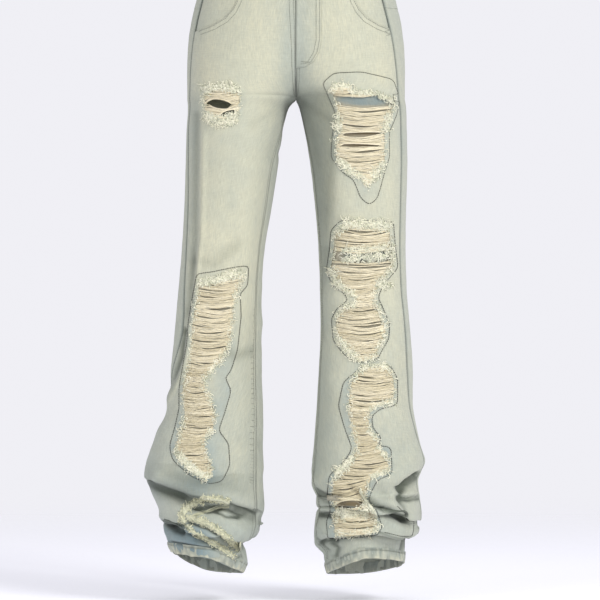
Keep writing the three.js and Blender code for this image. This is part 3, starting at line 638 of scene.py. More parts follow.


class Panel:
    """The surface of a front or back of a leg, from the waistband to the hem, as a grid of points."""

    def __init__(self, leg, part):
        sizes = cloth_sizes()
        self.leg, self.part, self.side = leg, part, SIDES[leg]
        share = np.linspace(0, 1, round(WIDTHS[part] / sizes.column_step) + 1)
        keys = np.array([ring_points(leg, ring, self.angles(ring, share)) for ring in RINGS[leg]])
        steps = []
        for upper, lower in zip(keys, keys[1:]):
            step = sizes.row_step if upper[:, 2].mean() > STACK_LEVEL * MM else sizes.stack_step
            steps.append(max(2, round(float(np.linalg.norm(lower - upper, axis=1).max() / step))))
        points = splined(keys, steps)
        self.shape = points.shape[:2]
        self.points = self.creased(points)
        self.normals = self.find_normals(self.points)
        self.weave = self.lay_flat(self.points)
        self.quads = grid_quads(*self.shape)
        self.tree = BVHTree.FromPolygons(self.points.reshape(-1, 3).tolist(), self.quads.tolist())

    def angles(self, ring, share):
        """Angles round a ring from the side seam to the inseam or the middle seam."""
        start, inseam = outseam_angle(self.leg, ring), inseam_angle(self.leg, ring)
        if self.part == "front":
            return start + (inseam - start) * share
        end = -inseam if ring[2] <= 0 else inseam - 360
        return start + (end - start) * share

    def find_normals(self, points):
        """The ways out of the leg at a grid's points."""
        down, across = np.gradient(points, axis=0), np.gradient(points, axis=1)
        normal = unit(np.cross(across, down), TINY)
        middle = normal[len(points) // 2].mean(axis=0)
        toward = -1 if self.part == "front" else 1
        return normal if middle[1] * toward > 0 else -normal

    def creased(self, points):
        """The grid with its creases, in shape and in the depth of shade that each point lies in."""
        normals = self.find_normals(points)
        solid = points.reshape(-1, 3)
        flat = solid[:, [0, 2]] / MM
        if self.part == "front":
            out, shade = bumps(flat, *(kind[self.leg] for kind in (RIDGES, TROUGHS, LIPS, PAINTED_SHADOWS)))
        else:
            sway = 7 * lattice_noise(flat, 45.0, 9) + (10 if self.leg == "right" else 0)
            sway = sway + 0.12 * self.side * (flat[:, 0] * self.side - 110)
            out, shade = bumps(flat * [self.side, 1] + sway[:, None] * [0, 1], BACK_RIDGES, BACK_TROUGHS)
            shade = BACK_SHADE * shade
        stack = np.clip((STACK_LEVEL - flat[:, 1]) / 60, 0, 1)
        knee = bell(flat[:, 1] - KNEE_LEVEL, 120)
        drape = lattice_noise(solid * [1, 1, 0.45], 0.055, 3 + self.side)
        small = lattice_noise(solid * [1, 1, 1.3], 0.019, 5)
        fine = lattice_noise(solid, 0.008, 8)
        out += drape * (0.9 + 1.6 * stack + 0.7 * knee)
        out += small * (0.22 + 0.95 * stack + 0.15 * knee) + fine * (0.07 + 0.22 * stack)
        hem = np.clip((flat[:, 1] - HEM_LEVEL) / 30, 0.2, 1)
        below_band = np.clip((BAND_LEVEL - flat[:, 1]) / 30, 0, 1)
        out = (out * hem * below_band * self.edge_share().ravel()).reshape(self.shape)
        moved = points + normals * out[..., None] * MM
        # Painted shade in hollows: the further a point lies below its smoothed neighbours, the darker it is
        # made.
        deep = ((blurred(moved, 5) - moved) * normals).sum(axis=-1) / MM
        self.shade = shade.reshape(self.shape) + 0.09 * np.clip(deep, -2, 5)
        self.hollow = out
        return moved

    def edge_share(self):
        """1 over most of the panel, falling off to the seams so that the panels still meet."""
        column = np.linspace(0, 1, self.shape[1])
        rim = np.clip(np.minimum(column, 1 - column) / 0.07, 0, 1)
        return np.broadcast_to(0.12 + 0.88 * rim * rim * (3 - 2 * rim), self.shape)

    def lay_flat(self, points):
        """Places on the flat cloth, in metres: across and down."""
        across = np.linalg.norm(np.diff(points, axis=1), axis=-1)
        down = np.linalg.norm(np.diff(points, axis=0), axis=-1)
        u = np.concatenate([np.zeros((len(points), 1)), np.cumsum(across, axis=1)], axis=1)
        u -= u[:, points.shape[1] // 2, None]
        v = np.concatenate([np.zeros((1, points.shape[1])), np.cumsum(down, axis=0)])
        return np.stack([u, -v], axis=-1)

    def turned(self):
        """Whether the grid's quads face into the leg."""
        a, b, c = (self.points.reshape(-1, 3)[self.quads[:, k]] for k in (0, 1, 2))
        normals = self.normals.reshape(-1, 3)[self.quads[:, 0]]
        return float((np.cross(b - a, c - b) * normals).sum(axis=1).mean()) < 0

    def wash(self):
        """How faded, how blue and how shaded the cloth is at each point, from 0 to 1."""
        x, _, z = np.moveaxis(self.points / MM, -1, 0)
        x = np.abs(x)
        right, front = self.leg == "right", self.part == "front"
        middle = np.interp(-z, WORN_HEIGHTS, [95, 108, 120, 122, 130, 128])
        half = np.interp(-z, WORN_HEIGHTS, [80, 72, 66, 74, 92, 66])
        across = np.abs(x - middle) / half
        gap = x - self.sweep(z)
        if not front:
            seat = np.exp(-(((x - 85) / 60) ** 2) - ((z + 190) / 80) ** 2)
            fade = 0.15 + 0.7 * seat + 0.45 * (bell(x - 120, 60) * bell(z + 420, 200))
        else:
            fade = np.clip(1.25 - across**2.2, 0, 1) * np.interp(-z, *WORN_DEPTH)
            if right:
                # Right leg: beside the long fold the cloth is made less faded, as painted shade where it
                # turns away; along the crease down the leg a lighter line is partly wear and partly a
                # painted highlight.
                band = bell(x - LONG_FOLD, 9) * ramp(-z, 225, 20) * ramp(z, -560, 60)
                fade = fade - 0.55 * band + 0.5 * (ramp(-z, 250, 40) * ramp(z, -765, 60)) * bell(gap, 2.5)
            else:
                # Left leg: the inner thigh is made less faded, and below it is given painted shade as well.
                fade = fade - 0.5 * (ramp(-x, -70, 34) * ramp(-z, 200, 30) * ramp(z, -560, 160))
        flat = np.stack([x, z], axis=-1) * MM
        cloud = lattice_noise(flat * [1, 0.5], 0.05, 21) * 0.5 + lattice_noise(flat, 0.017, 22) * 0.28
        fade = fade + 0.16 * cloud + 0.02 * np.clip(self.hollow, -4, 4)
        blue = 0.10 + 0.22 * cloud + 0.34 * np.clip(across - 0.75, 0, 1)
        blue += STACK_BLUE[self.leg] * ramp(-z, 840, 90)
        # Below the long rip on the right front the cloth is bluer, and painted shade darkens it as well.
        under_rip = np.exp(-(((x - 165) / 50) ** 2) - ((z + 856) / 20) ** 2) * (right and front)
        blue += 0.40 * under_rip
        for name in RIPS_OF[self.leg] if front else ():
            away = np.clip(-inside_of(self.flat_points(), rounded(RIPS[name])), 0, None).reshape(self.shape)
            blue += 0.18 * bell(away, 8) * (0.7 + 0.6 * cloud)
            if name in PATCHES:
                sewn = inside_of(self.flat_points(), rounded(PATCHES[name])).reshape(self.shape)
                low = np.clip((-z - 560) / 160, 0.25, 1)
                blue += 0.30 * low * np.clip(sewn / 5 + 0.5, 0, 1) * (0.8 + 0.9 * cloud)
        column = np.linspace(0, 1, self.shape[1])
        outer, inner = column * FLAT_WIDTHS["front"], (1 - column) * FLAT_WIDTHS["front"]
        # Along the seams the cloth keeps more blue, and thin lines of painted shade run down the panels'
        # edges.
        seam = bell(outer, 4)
        blue += 0.30 * seam
        shade = np.clip(self.shade, 0, 1) + 0.10 * seam + 0.45 * under_rip
        shade += 0.6 * bell(outer, 1.4) + 0.15 * bell(inner, 1.2)
        # Painted shade in the hollows of the creases.
        shade += 0.05 * np.clip(-self.hollow, 0, 4)
        # worn marks only the thigh's heights; the shade laid over them below is painted shade, not wear.
        worn = ramp(-z, 215, 20) * ramp(z, -540, 120)
        if front and right:
            # Painted shade along the right leg's long fold.
            shade += 0.10 * worn * bell(x - LONG_FOLD, 8)
            # Painted shade on the outer side of the crease down the right shin.
            low = ramp(-z, 440, 80) * ramp(z, -765, 60)
            shade += 0.34 * low * bell(gap - 7, 6) * np.clip(gap / 2, 0, 1)
            # Above the right hem the cloth keeps its indigo, and painted shade darkens it as well.
            unworn_and_shaded = ramp(-z, 912, 20) * ramp(x, 120, 40)
            blue += 0.6 * unworn_and_shaded
            shade += 0.20 * unworn_and_shaded
        elif front:
            # Painted shade on the left leg's inner thigh, where the cloth turns from the light.
            edge = np.interp(-z, [230, 320, 450, 560], [70, 72, 62, 60])
            shade += 0.38 * worn * np.clip((edge - x) / 14, 0, 1) + 0.10 * worn * ramp(-x, -90, 30)
        return np.clip(np.stack([fade, blue, shade], axis=-1), 0, 1)

    def sweep(self, z):
        """Where the right leg's long front crease runs: down the thigh, then out over the shin."""
        return np.interp(-z, *SWEEP)

    def flat_points(self):
        """The panel's points in the front view, in millimetres."""
        return self.points.reshape(-1, 3)[:, [0, 2]] / MM

    def on_face(self, x, z, lift=0.0):
        """A point of the cloth's face at a place in the front view, and the way out of it."""
        toward = 1 if self.part == "front" else -1
        found, normal, _, _ = self.tree.ray_cast(Vector((x, -toward, z)), Vector((0, toward, 0)))
        if found is None:
            found, normal, _, _ = self.tree.find_nearest(Vector((x, -0.08 * toward, z)))
        normal = np.array(normal)
        if normal[1] * toward > 0:
            normal = -normal
        return np.array(found) + normal * lift, normal

    def laid(self, places, lifts):
        """A path of points on the cloth, each lifted off it, all in millimetres."""
        return [self.on_face(x * MM, z * MM, lift * MM)[0] for (x, z), lift in zip(places, lifts)]


@lru_cache(maxsize=None)
def panel(leg, part):
    return Panel(leg, part)


# ---- Meshes

MADE = {}  # the pieces by name, and the hems' stitch lines


def trim(data, faces, keep):
    """Cuts faces along the line where keep is zero: what is left has keep above zero."""
    inside = keep > 0
    whole = inside[faces].all(axis=1)
    mixed = ~whole & inside[faces].any(axis=1)
    kept = [tuple(face) for face in faces[whole].tolist()]
    extra, cuts = [], {}

    def crossing(a, b):
        pair = (min(a, b), max(a, b))
        if pair not in cuts:
            share = keep[a] / (keep[a] - keep[b])
            cuts[pair] = len(data) + len(extra)
            extra.append(data[a] + (data[b] - data[a]) * share)
        return cuts[pair]

    for face in faces[mixed].tolist():
        ring = []
        for a, b in zip(face, face[1:] + face[:1]):
            if inside[a]:
                ring.append(a)
            if inside[a] != inside[b]:
                ring.append(crossing(a, b))
        kept.append(tuple(ring))
    return (np.vstack([data, extra]) if extra else data), kept


def new_mesh(name, points, faces, weave=None, shades=None):
    """An object with only the points that its faces use."""
    flat = np.fromiter((index for face in faces for index in face), int)
    used, renamed = np.unique(flat, return_inverse=True)
    counts = np.array([len(face) for face in faces])
    mesh = bpy.data.meshes.new(name)
    mesh.vertices.add(len(used))
    mesh.vertices.foreach_set("co", np.asarray(points)[used].ravel())
    mesh.loops.add(len(flat))
    mesh.loops.foreach_set("vertex_index", renamed.astype(np.int32).ravel())
    mesh.polygons.add(len(faces))
    mesh.polygons.foreach_set("loop_start", np.concatenate([[0], np.cumsum(counts)[:-1]]).astype(np.int32))
    mesh.polygons.foreach_set("loop_total", counts.astype(np.int32))
    mesh.update(calc_edges=True)
    if weave is not None:
        layer = mesh.uv_layers.new(name="weave")
        layer.data.foreach_set("uv", np.asarray(weave)[used][renamed.ravel()].ravel())
    if shades is not None:
        layer = mesh.attributes.new("wash", "FLOAT_COLOR", "POINT")
        rgba = np.concatenate([np.asarray(shades)[used], np.ones((len(used), 1))], axis=1)
        layer.data.foreach_set("color", rgba.astype(np.float32).ravel())
    mesh.validate()
    mesh.shade_smooth()
    piece = bpy.data.objects.new(f"worn_{name}", mesh)
    bpy.context.collection.objects.link(piece)
    MADE[name] = piece
    return piece


def grid_mesh(name, points, weave, shades, closed=False, turned=False):
    """A mesh of a whole grid of points."""
    faces = grid_quads(*points.shape[:2], closed)
    if turned:
        faces = faces[:, ::-1]
    return new_mesh(name, points.reshape(-1, 3), faces.tolist(), weave.reshape(-1, 2), shades.reshape(-1, 3))


def finish(piece, material, slot, *nodes):
    """Gives a piece its material and its place in the frame."""
    piece.data.materials.append(finish_of(material))
    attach(piece, "root")
    if nodes:
        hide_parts(*nodes)
    return piece


def thicken(piece, thickness):
    """Gives a piece its cloth's thickness, inwards."""
    solid = piece.modifiers.new("Cloth", "SOLIDIFY")
    solid.thickness = thickness
    solid.offset = -1
    solid.use_even_offset = False
    return piece


def cloth(name, grid, keep, lift=0.0, thickness=None, tones=None):
    """A piece of cloth in a panel's surface, trimmed to where keep is above zero."""
    where = grid.points + grid.normals * np.asarray(lift)[..., None]
    tones = grid.wash() if tones is None else tones
    data = np.concatenate([where, grid.weave, tones], axis=-1).reshape(-1, 8)
    data, kept = trim(data, grid.quads, keep)
    if grid.turned():
        kept = [tuple(reversed(face)) for face in kept]
    piece = new_mesh(name, data[:, :3], kept, data[:, 3:5], data[:, 5:8])
    return thicken(piece, cloth_sizes().thickness if thickness is None else thickness)


def tubes(name, groups):
    """Many thin closed strands as one mesh. A group is (paths, radii, tones): n paths of k points."""
    points, faces, tones, start, sides = [], [], [], 0, 3
    for paths, radii, tone_of in groups:
        paths = np.asarray(paths)
        if not len(paths):
            continue
        count, length = paths.shape[:2]
        tangent = unit(np.gradient(paths, axis=1), TINY)
        helper = np.where(np.abs(tangent[..., 1:2]) < 0.8, [0.0, 1.0, 0.0], [1.0, 0.0, 0.0])
        first = unit(np.cross(tangent, helper), TINY)
        second = np.cross(tangent, first)
        turn = np.arange(sides) * 2 * math.pi / sides
        radius = np.broadcast_to(np.asarray(radii, float).reshape(count, -1), (count, length))
        ring = first[:, :, None] * np.cos(turn)[:, None] + second[:, :, None] * np.sin(turn)[:, None]
        points.append((paths[:, :, None] + ring * radius[:, :, None, None]).reshape(-1, 3))
        at = start + np.arange(count * length * sides).reshape(count, length, sides)
        after = np.roll(at, -1, axis=2)
        quads = np.stack([at[:, :-1], after[:, :-1], after[:, 1:], at[:, 1:]], axis=-1).reshape(-1, 4)
        faces += quads.tolist()
        faces += at[:, 0, ::-1].tolist()
        faces += at[:, -1].tolist()
        tones.append(np.repeat(np.asarray(tone_of, float).reshape(count, -1), length * sides, axis=0))
        start += count * length * sides
    return new_mesh(name, np.concatenate(points), faces, None, np.concatenate(tones))


# ---- Materials


class Nodes:
    """A small helper that adds and joins a material's nodes."""

    def __init__(self, name):
        self.material = bpy.data.materials.new(name)
        self.material.use_nodes = True
        self.tree = self.material.node_tree
        self.shader = self.tree.nodes["Principled BSDF"]

    def add(self, kind, **values):
        node = self.tree.nodes.new(kind)
        for key, value in values.items():
            if hasattr(node, key):
                setattr(node, key, value)
            else:
                self.put(value, node.inputs[key.replace("_", " ")])
        return node

    def put(self, value, socket):
        if isinstance(value, bpy.types.NodeSocket):
            self.tree.links.new(value, socket)
        elif hasattr(value, "__len__") and len(value) == 3 and len(socket.default_value) == 4:
            socket.default_value = (*value, 1)
        else:
            socket.default_value = value

    def look(self, **inputs):
        """Sets the shader's inputs, with _ for the spaces in their names."""
        for name, value in inputs.items():
            self.put(value, self.shader.inputs[name.replace("_", " ")])

    def math(self, operation, *values):
        node = self.add("ShaderNodeMath", operation=operation)
        for value, socket in zip(values, node.inputs):
            self.put(value, socket)
        return node.outputs[0]

    def mix(self, share, a, b, blend="MIX"):
        node = self.add("ShaderNodeMix", data_type="RGBA", blend_type=blend)
        self.put(share, node.inputs[0])
        self.put(a, node.inputs[6])
        self.put(b, node.inputs[7])
        return node.outputs[2]

    def scaled(self, value, by, plus):
        """A number times one amount, plus another."""
        return self.math("ADD", self.math("MULTIPLY", value, by), plus)

    def varied(self, amount, noise, by):
        """An amount moved up and down by a noise."""
        return self.math("ADD", amount, self.math("MULTIPLY", self.math("SUBTRACT", noise, 0.5), by))

    def clamped(self, value):
        return self.add("ShaderNodeClamp", Value=value).outputs[0]

    def noise(self, vector, scale, detail=2.0):
        return self.add("ShaderNodeTexNoise", Scale=scale, Detail=detail, Vector=vector).outputs[0]

    def stretch(self, vector, x, y, z=1.0):
        node = self.add("ShaderNodeVectorMath", operation="MULTIPLY")
        self.put(vector, node.inputs[0])
        node.inputs[1].default_value = (x, y, z)
        return node.outputs[0]

    def grain(self, place, detail, *repeats):
        """A noise that repeats so often to the metre, each way of the cloth."""
        return self.noise(self.stretch(place, *repeats), 1.0, detail)

    def dim(self, colour, amount):
        """A colour made darker or lighter by a number."""
        node = self.add("ShaderNodeCombineColor")
        for channel in node.inputs[:3]:
            self.put(amount, channel)
        return self.mix(1.0, colour, node.outputs[0], "MULTIPLY")

    def wash_parts(self):
        """How faded, how blue and how shaded the cloth is, as the mesh states it."""
        tones = self.add("ShaderNodeAttribute", attribute_name="wash")
        split = self.add("ShaderNodeSeparateColor")
        self.put(tones.outputs["Color"], split.inputs[0])
        return split.outputs


def cottoned(nodes, roughness, sheen, bump_height, strength, distance):
    """Finishes a material: how dull and downy it is, and its bump."""
    nodes.look(Roughness=roughness, Sheen_Weight=sheen, Sheen_Roughness=0.6, Specular_IOR_Level=0.12)
    bump = nodes.add("ShaderNodeBump", Height=bump_height, Strength=strength, Distance=distance)
    nodes.look(Normal=bump.outputs[0])
    return nodes.material


TWILL_ANGLE = 63  # the twill's slant on the flat cloth, in degrees


def denim(name, faded, plain, blue, streaks=1.0, deep=(0.26, 0.28, 0.26)):
    """Bleached twill: the wash by place, warp streaks, a slubby weave and its bump, with painted shade
    from the mesh's wash attribute.
    """
    nodes = Nodes(name)
    place = nodes.add("ShaderNodeUVMap", uv_map="weave").outputs[0]
    fade, indigo, shade = nodes.wash_parts()
    warp = nodes.grain(place, 3.0, 900, 70)
    mottle = nodes.grain(place, 3.0, 190, 150)
    slub = nodes.grain(place, 2.0, 60, 620)
    cloud = nodes.grain(place, 4.0, 34, 20)
    streak = nodes.grain(place, 3.0, 420, 60)
    speck = nodes.grain(place, 2.0, 750, 500)
    fall = nodes.grain(place, 2.0, 85, 9)
    amount = nodes.varied(fade, cloud, 0.38)
    for noise, by in ((fall, 0.55), (streak, 0.9), (mottle, 0.7), (speck, 0.8)):
        amount = nodes.varied(amount, noise, by * streaks)
    colour = nodes.mix(nodes.clamped(amount), plain, faded)
    tint = nodes.math("MULTIPLY", indigo, nodes.scaled(warp, 0.9, 0.5))
    colour = nodes.mix(nodes.clamped(tint), colour, blue)
    slanted = nodes.add("ShaderNodeMapping", Vector=place, Rotation=(0, 0, math.radians(TWILL_ANGLE)))
    twill = nodes.add(
        "ShaderNodeTexWave", Scale=230.0, Distortion=1.6, Detail=2.0, Detail_Scale=3.0,
        Vector=slanted.outputs[0],
    ).outputs[1]
    grain = nodes.scaled(twill, 0.12, 0.88)
    grain = nodes.math("MULTIPLY", grain, nodes.scaled(warp, 0.5, 0.76))
    grain = nodes.math("MULTIPLY", grain, nodes.scaled(slub, 0.22, 0.90))
    colour = nodes.dim(colour, grain)
    # Painted shade: where the wash attribute's shade is high, the colour is multiplied by deep.
    dark = nodes.mix(1.0, colour, deep, "MULTIPLY")
    nodes.look(Base_Color=nodes.mix(shade, colour, dark))
    height = nodes.math("ADD", nodes.math("MULTIPLY", twill, 0.6), nodes.math("MULTIPLY", warp, 0.7))
    return cottoned(nodes, 0.92, 0.18, height, 0.55, 0.0005)


def yarn(name, light, dark, roughness=0.95):
    """Cotton thread: a tone for each strand, with twist and dirt along it."""
    nodes = Nodes(name)
    place = nodes.add("ShaderNodeTexCoord").outputs["Object"]
    lightness, indigo, _ = nodes.wash_parts()
    twist = nodes.grain(place, 1.0, 2400, 2400, 2400)
    patchy = nodes.grain(place, 3.0, 90, 90, 150)
    colour = nodes.mix(nodes.clamped(nodes.varied(lightness, patchy, 0.7)), dark, light)
    colour = nodes.dim(colour, nodes.scaled(twist, 0.34, 0.82))
    nodes.look(Base_Color=nodes.mix(indigo, colour, wash().blue))
    return cottoned(nodes, roughness, 0.25, twist, 0.4, 0.0003)


def aged_metal(name):
    """Dull metal, worn brighter in places."""
    nodes = Nodes(name)
    place = nodes.add("ShaderNodeTexCoord").outputs["Object"]
    wear = nodes.grain(place, 4.0, 700, 700, 700)
    nodes.look(Base_Color=nodes.mix(wear, tinted(wash().metal, 0.55), wash().metal), Metallic=0.9)
    material = cottoned(nodes, 0.42, 0.0, wear, 0.3, 0.0003)
    nodes.look(Specular_IOR_Level=0.5)
    return material


def tinted(colour, by):
    """A colour made lighter or darker."""
    return [by * c for c in colour]


@lru_cache(maxsize=None)
def finish_of(kind):
    """The finishes of the garment, each made once."""
    w = wash()
    if kind == "denim":
        return denim("Bleached denim", w.faded, w.plain, w.blue)
    if kind == "patch":
        # The patch's painted shade behind the threads is a warmer brown.
        return denim("Patch denim", tinted(w.thread, 0.52), w.patch, w.blue, 0.4, (0.34, 0.27, 0.17))
    if kind == "hem":
        return denim("Hem denim", w.faded, tinted(w.plain, 0.86), tinted(w.blue, 0.9), 0.5)
    if kind == "weft":
        return yarn("Weft thread", w.thread, [0.74, 0.66, 0.44])
    if kind == "fray":
        return yarn("Fray", w.fray, [0.62, 0.64, 0.46])
    if kind == "torn":
        return yarn("Torn edge", [0.92, 0.90, 0.64], [0.36, 0.38, 0.25])
    if kind == "stitch":
        return yarn("Dark stitching", tinted(w.stitch, 1.5), w.stitch, 0.8)
    if kind == "topstitch":
        return yarn("Faded stitching", w.topstitch, tinted(w.topstitch, 0.6), 0.85)
    return aged_metal("Aged metal")


# ---- Threads, frays and stitches


def crossings(outline, z):
    """The stretches of an outline's inside at one height, as pairs of x."""
    a, b = outline, np.roll(outline, -1, axis=0)
    spans = (a[:, 1] > z) != (b[:, 1] > z)
    x = a[spans, 0] + (z - a[spans, 1]) / (b[spans, 1] - a[spans, 1]) * (b[spans, 0] - a[spans, 0])
    x = np.sort(x)
    return list(zip(x[::2], x[1::2]))


def bare_share(name, x, z):
    """How far a height lies in one of a rip's bare places, from 0 to 1."""
    best = 0.0
    for middle, height, left, right in BARE[name]:
        if left - 4 < x < right + 4:
            lens = math.sqrt(max(0, 1 - ((x - (left + right) / 2) / ((right - left) / 2 + 4)) ** 2))
            best = max(best, float(abs(z - middle) < height / 2 * lens))
    return best


def round_holes(zs, xs, z, holes, layer, rng):
    """Thread heights moved clear of the holes that the threads bunch round."""
    far = 99
    for hole_x, hole_z, wide, high, slope in holes:
        off = xs - hole_x
        rise = high * np.sqrt(np.clip(1 - (off / wide) ** 2, 0, 1))
        line, beside = hole_z + slope * off, far * (rise == 0)
        above = z - hole_z - rip_sizes().sag / MM * 0.3 * (layer - 1) > 0
        clear = (rise + rng.uniform(0.1, 1.4) * (rise > 0)) * (rise > 0)
        zs = np.maximum(zs, line + clear - beside) if above else np.minimum(zs, line - clear + beside)
    return zs


def weft_threads(name, leg, seed):
    """The threads left across a rip. They hang in bunches, which leave dark slits between them."""
    sizes = rip_sizes()
    rng = np.random.default_rng(seed)
    grid = panel(leg, "front")
    outline = rounded(RIPS[name])
    top, bottom = outline[:, 1].max() - 0.5, outline[:, 1].min() + 0.5
    paths, radii, tones = [], [], []
    z, bunch_end = top, top
    t = np.linspace(0, 1, 12)
    hump = 4 * t * (1 - t)
    while z > bottom:
        if z <= bunch_end:
            bunch_top = z
            bunch_end = z - rng.uniform(1.4, 6.0)
            sag, lean = rng.uniform(0.45, 1.25), rng.normal(0, 0.6)
            squeeze, low, bulge = rng.uniform(0.0, 0.08), rng.uniform(0.35, 0.65), rng.uniform(0.2, 1.0)
            pull = rng.uniform(0.05, 0.30) * (rng.random() < 0.5)
            bunch_tone = rng.uniform(0.6, 1.0)
            gather = bell(t - rng.uniform(0.15, 0.85), rng.uniform(0.12, 0.4))
        middle = (bunch_top + bunch_end) / 2
        for x0, x1 in crossings(outline, z):
            width = x1 - x0
            if width < 4:
                continue
            for layer in range(3):
                if rng.random() < 0.06 or bare_share(name, (x0 + x1) / 2, z) > 0:
                    continue
                reach_out = rng.uniform(2.5, 5.5)
                drop = sizes.sag / MM * sag * min(1.25, width / 58) * np.sin(math.pi * t ** (2 * low)) ** 1.3
                xs = x0 - reach_out + t * (width + 2 * reach_out)
                zs = z + (middle - z) * (squeeze * hump + pull * gather) * (1 - 0.4 * layer) - drop
                zs = zs + lean * (t - 0.5) * 2
                zs = zs + rng.normal(0, 0.3) + 0.55 * np.sin(t * rng.uniform(5, 20) + rng.uniform(0, 6))
                if name == "shin_left":
                    slant = 0.30 * bell(z + 866, 24) + 0.16 * bell(z + 806, 20)
                    zs = zs + slant * (xs - (x0 + x1) / 2)
                zs = round_holes(zs, xs, z, HOLES.get(name, ()), layer, rng)
                lifts = -0.6 + hump**0.5 * (0.8 + 1.4 * bulge * hump) - 0.75 * layer + rng.normal(0, 0.25)
                paths.append(grid.laid(zip(xs, zs), lifts))
                radii.append(sizes.thread * rng.uniform(0.72, 1.15))
                # Some threads are darker at random; the threads behind are darker as painted shade; and all
                # get darker towards the bottom.
                dirt_and_shade = 0.5 * (rng.random() < 0.14) + 0.22 * layer + 0.5 * ramp(-z, 610, 180)
                tones.append((np.clip(bunch_tone + rng.normal(0, 0.2) - dirt_and_shade, 0, 1), 0, 0))
        z -= sizes.pitch / MM * rng.uniform(0.75, 1.25)
    return [(paths, radii, tones)]


def fray_line(leg, line, closed, count_per_mm, length, seed, inward=0.0, spread=2.2):
    """Short curling fibres along a line on the cloth."""
    rng = np.random.default_rng(seed)
    line = np.asarray(line, float)
    ends = joined(line) if closed else line
    run = run_along(ends)
    total = int(run[-1] * count_per_mm)
    at = rng.uniform(0, run[-1], total)
    root = at_run(at, run, ends)
    ahead = unit(at_run((at + 1) % run[-1], run, ends) - root, 1e-9)
    facing = np.stack([-ahead[:, 1], ahead[:, 0]], axis=1)
    if closed:  # threads run out at the sides of a rip, and fibres hang from its top and bottom
        facing *= np.sign(np.sum(ends[:-1, 0] * ends[1:, 1] - ends[1:, 0] * ends[:-1, 1]))
        kept = rng.random(total) < 0.14 + np.abs(facing[:, 1]) ** 1.5
        root, facing, total = root[kept], facing[kept], int(kept.sum())
    root = root + facing * (rng.normal(0, 1, (total, 1)) * spread + inward)
    clump = lattice_noise(root, 5.0, seed)
    reach = length / MM * rng.uniform(0.4, 1.1, total) * (1 + 0.45 * clump)
    heading = np.arctan2(facing[:, 1], facing[:, 0]) + rng.normal(0, 0.9, total)
    heading = np.where(rng.random(total) < 0.4, heading + math.pi, heading)
    loose = rng.random(total) < 0.3
    slack = rng.normal(0, 0.5, total)
    curl = np.where(loose, slack, rng.choice([-1, 1], total) * rng.uniform(1.0, 2.0, total))
    lifts, thinning = np.array([-0.3, 0.7, 1.0, 0.8, 0.5]), np.array([1, 1, 1, 0.85, 0.4])
    flat = np.repeat(root[:, None], len(lifts), axis=1)
    for k in range(1, len(lifts)):
        turn = heading + curl * (k - 1) * 0.8
        step = np.stack([np.cos(turn), np.sin(turn)], axis=1) * (reach / (len(lifts) - 1))[:, None]
        flat[:, k] = flat[:, k - 1] + step
    rise = lifts * rng.uniform(0.3, 1.7, (total, 1)) * (0.7 + 0.3 * reach[:, None] / 5)
    grid = panel(leg, "front")
    paths = np.array([grid.laid(row, ups) for row, ups in zip(flat, rise)])
    radii = rip_sizes().fibre * rng.uniform(0.6, 1.25, (total, 1)) * thinning
    blue = np.clip(0.02 + 0.25 * lattice_noise(root, 9.0, seed + 1), 0, 0.35)
    light = np.clip(rng.uniform(0.15, 1.25, total) + 0.35 * clump, 0, 1)
    tones = np.stack([light, blue * rng.uniform(0, 1, total), 0 * blue], axis=1)
    return [(paths, radii, tones)]


def even_steps(line, step):
    """Points at even steps along a line."""
    run = run_along(np.asarray(line, float))
    return at_run(np.arange(0.0, run[-1], step), run, line)


def stitches(lines, seed, radius=None):
    """A row of stitches along each line of points in space, given with the way out of the cloth."""
    sizes = rip_sizes()
    rng = np.random.default_rng(seed)
    length = sizes.stitch
    shares, lift = np.array([0, 0.12, 0.5, 0.88, 1.0]), np.array([-0.5, 0.28, 0.45, 0.28, -0.5]) * MM
    paths, tones = [], []
    for points, normals in lines:
        run = run_along(points)
        if run[-1] < length:
            continue
        for start in np.arange(0, run[-1] - length, length + sizes.stitch_gap):
            at = start + shares * length
            sway = rng.normal(0, 0.00008, (1, 3))
            paths.append(at_run(at, run, points) + at_run(at, run, normals) * lift[:, None] + sway)
            tones.append((rng.uniform(0.2, 1.0), 0.0, 0.0))
    radius = sizes.sewing if radius is None else radius
    widths = np.ones((len(paths), 1)) * radius * np.array([0.6, 1, 1, 1, 0.6])
    return [(np.array(paths), widths, tones)]


def seam_on(grid, line, lift=0.0, step=1.6):
    """A line in the front view, in millimetres, laid on a panel."""
    found = [grid.on_face(x * MM, z * MM, lift) for x, z in even_steps(line, step)]
    return np.array([p for p, _ in found]), np.array([n for _, n in found])


def seam_down(grid, share, rows=slice(None)):
    """A line down a panel at a share of its width."""
    at = share * (grid.shape[1] - 1)
    i = min(int(at), grid.shape[1] - 2)
    t = at - i
    points = grid.points[rows, i] * (1 - t) + grid.points[rows, i + 1] * t
    normals = grid.normals[rows, i] * (1 - t) + grid.normals[rows, i + 1] * t
    return points, normals


# ---- Operators


class JEANS_OT_fronts(bpy.types.Operator):
    """Cut the two front panels, with their rips and pocket mouths"""

    bl_idname = "jeans.fronts"
    bl_label = "Front Panels"

    def execute(self, context):
        for leg, side in SIDES.items():
            grid = panel(leg, "front")
            flat = grid.flat_points()
            keep = np.full(len(flat), 50.0)
            for name in RIPS_OF[leg]:
                ragged = 0.9 * lattice_noise(flat, 2.6, 31) + 0.8 * lattice_noise(flat, 7.0, 32)
                keep = np.minimum(keep, -inside_of(flat, rounded(RIPS[name])) + ragged)
            keep = np.minimum(keep, -inside_of(flat, pocket_mouth(side)))
            piece = cloth(f"front_{leg}", grid, keep)
            finish(piece, "denim", "denim", f"front_{leg}")
        return {"FINISHED"}


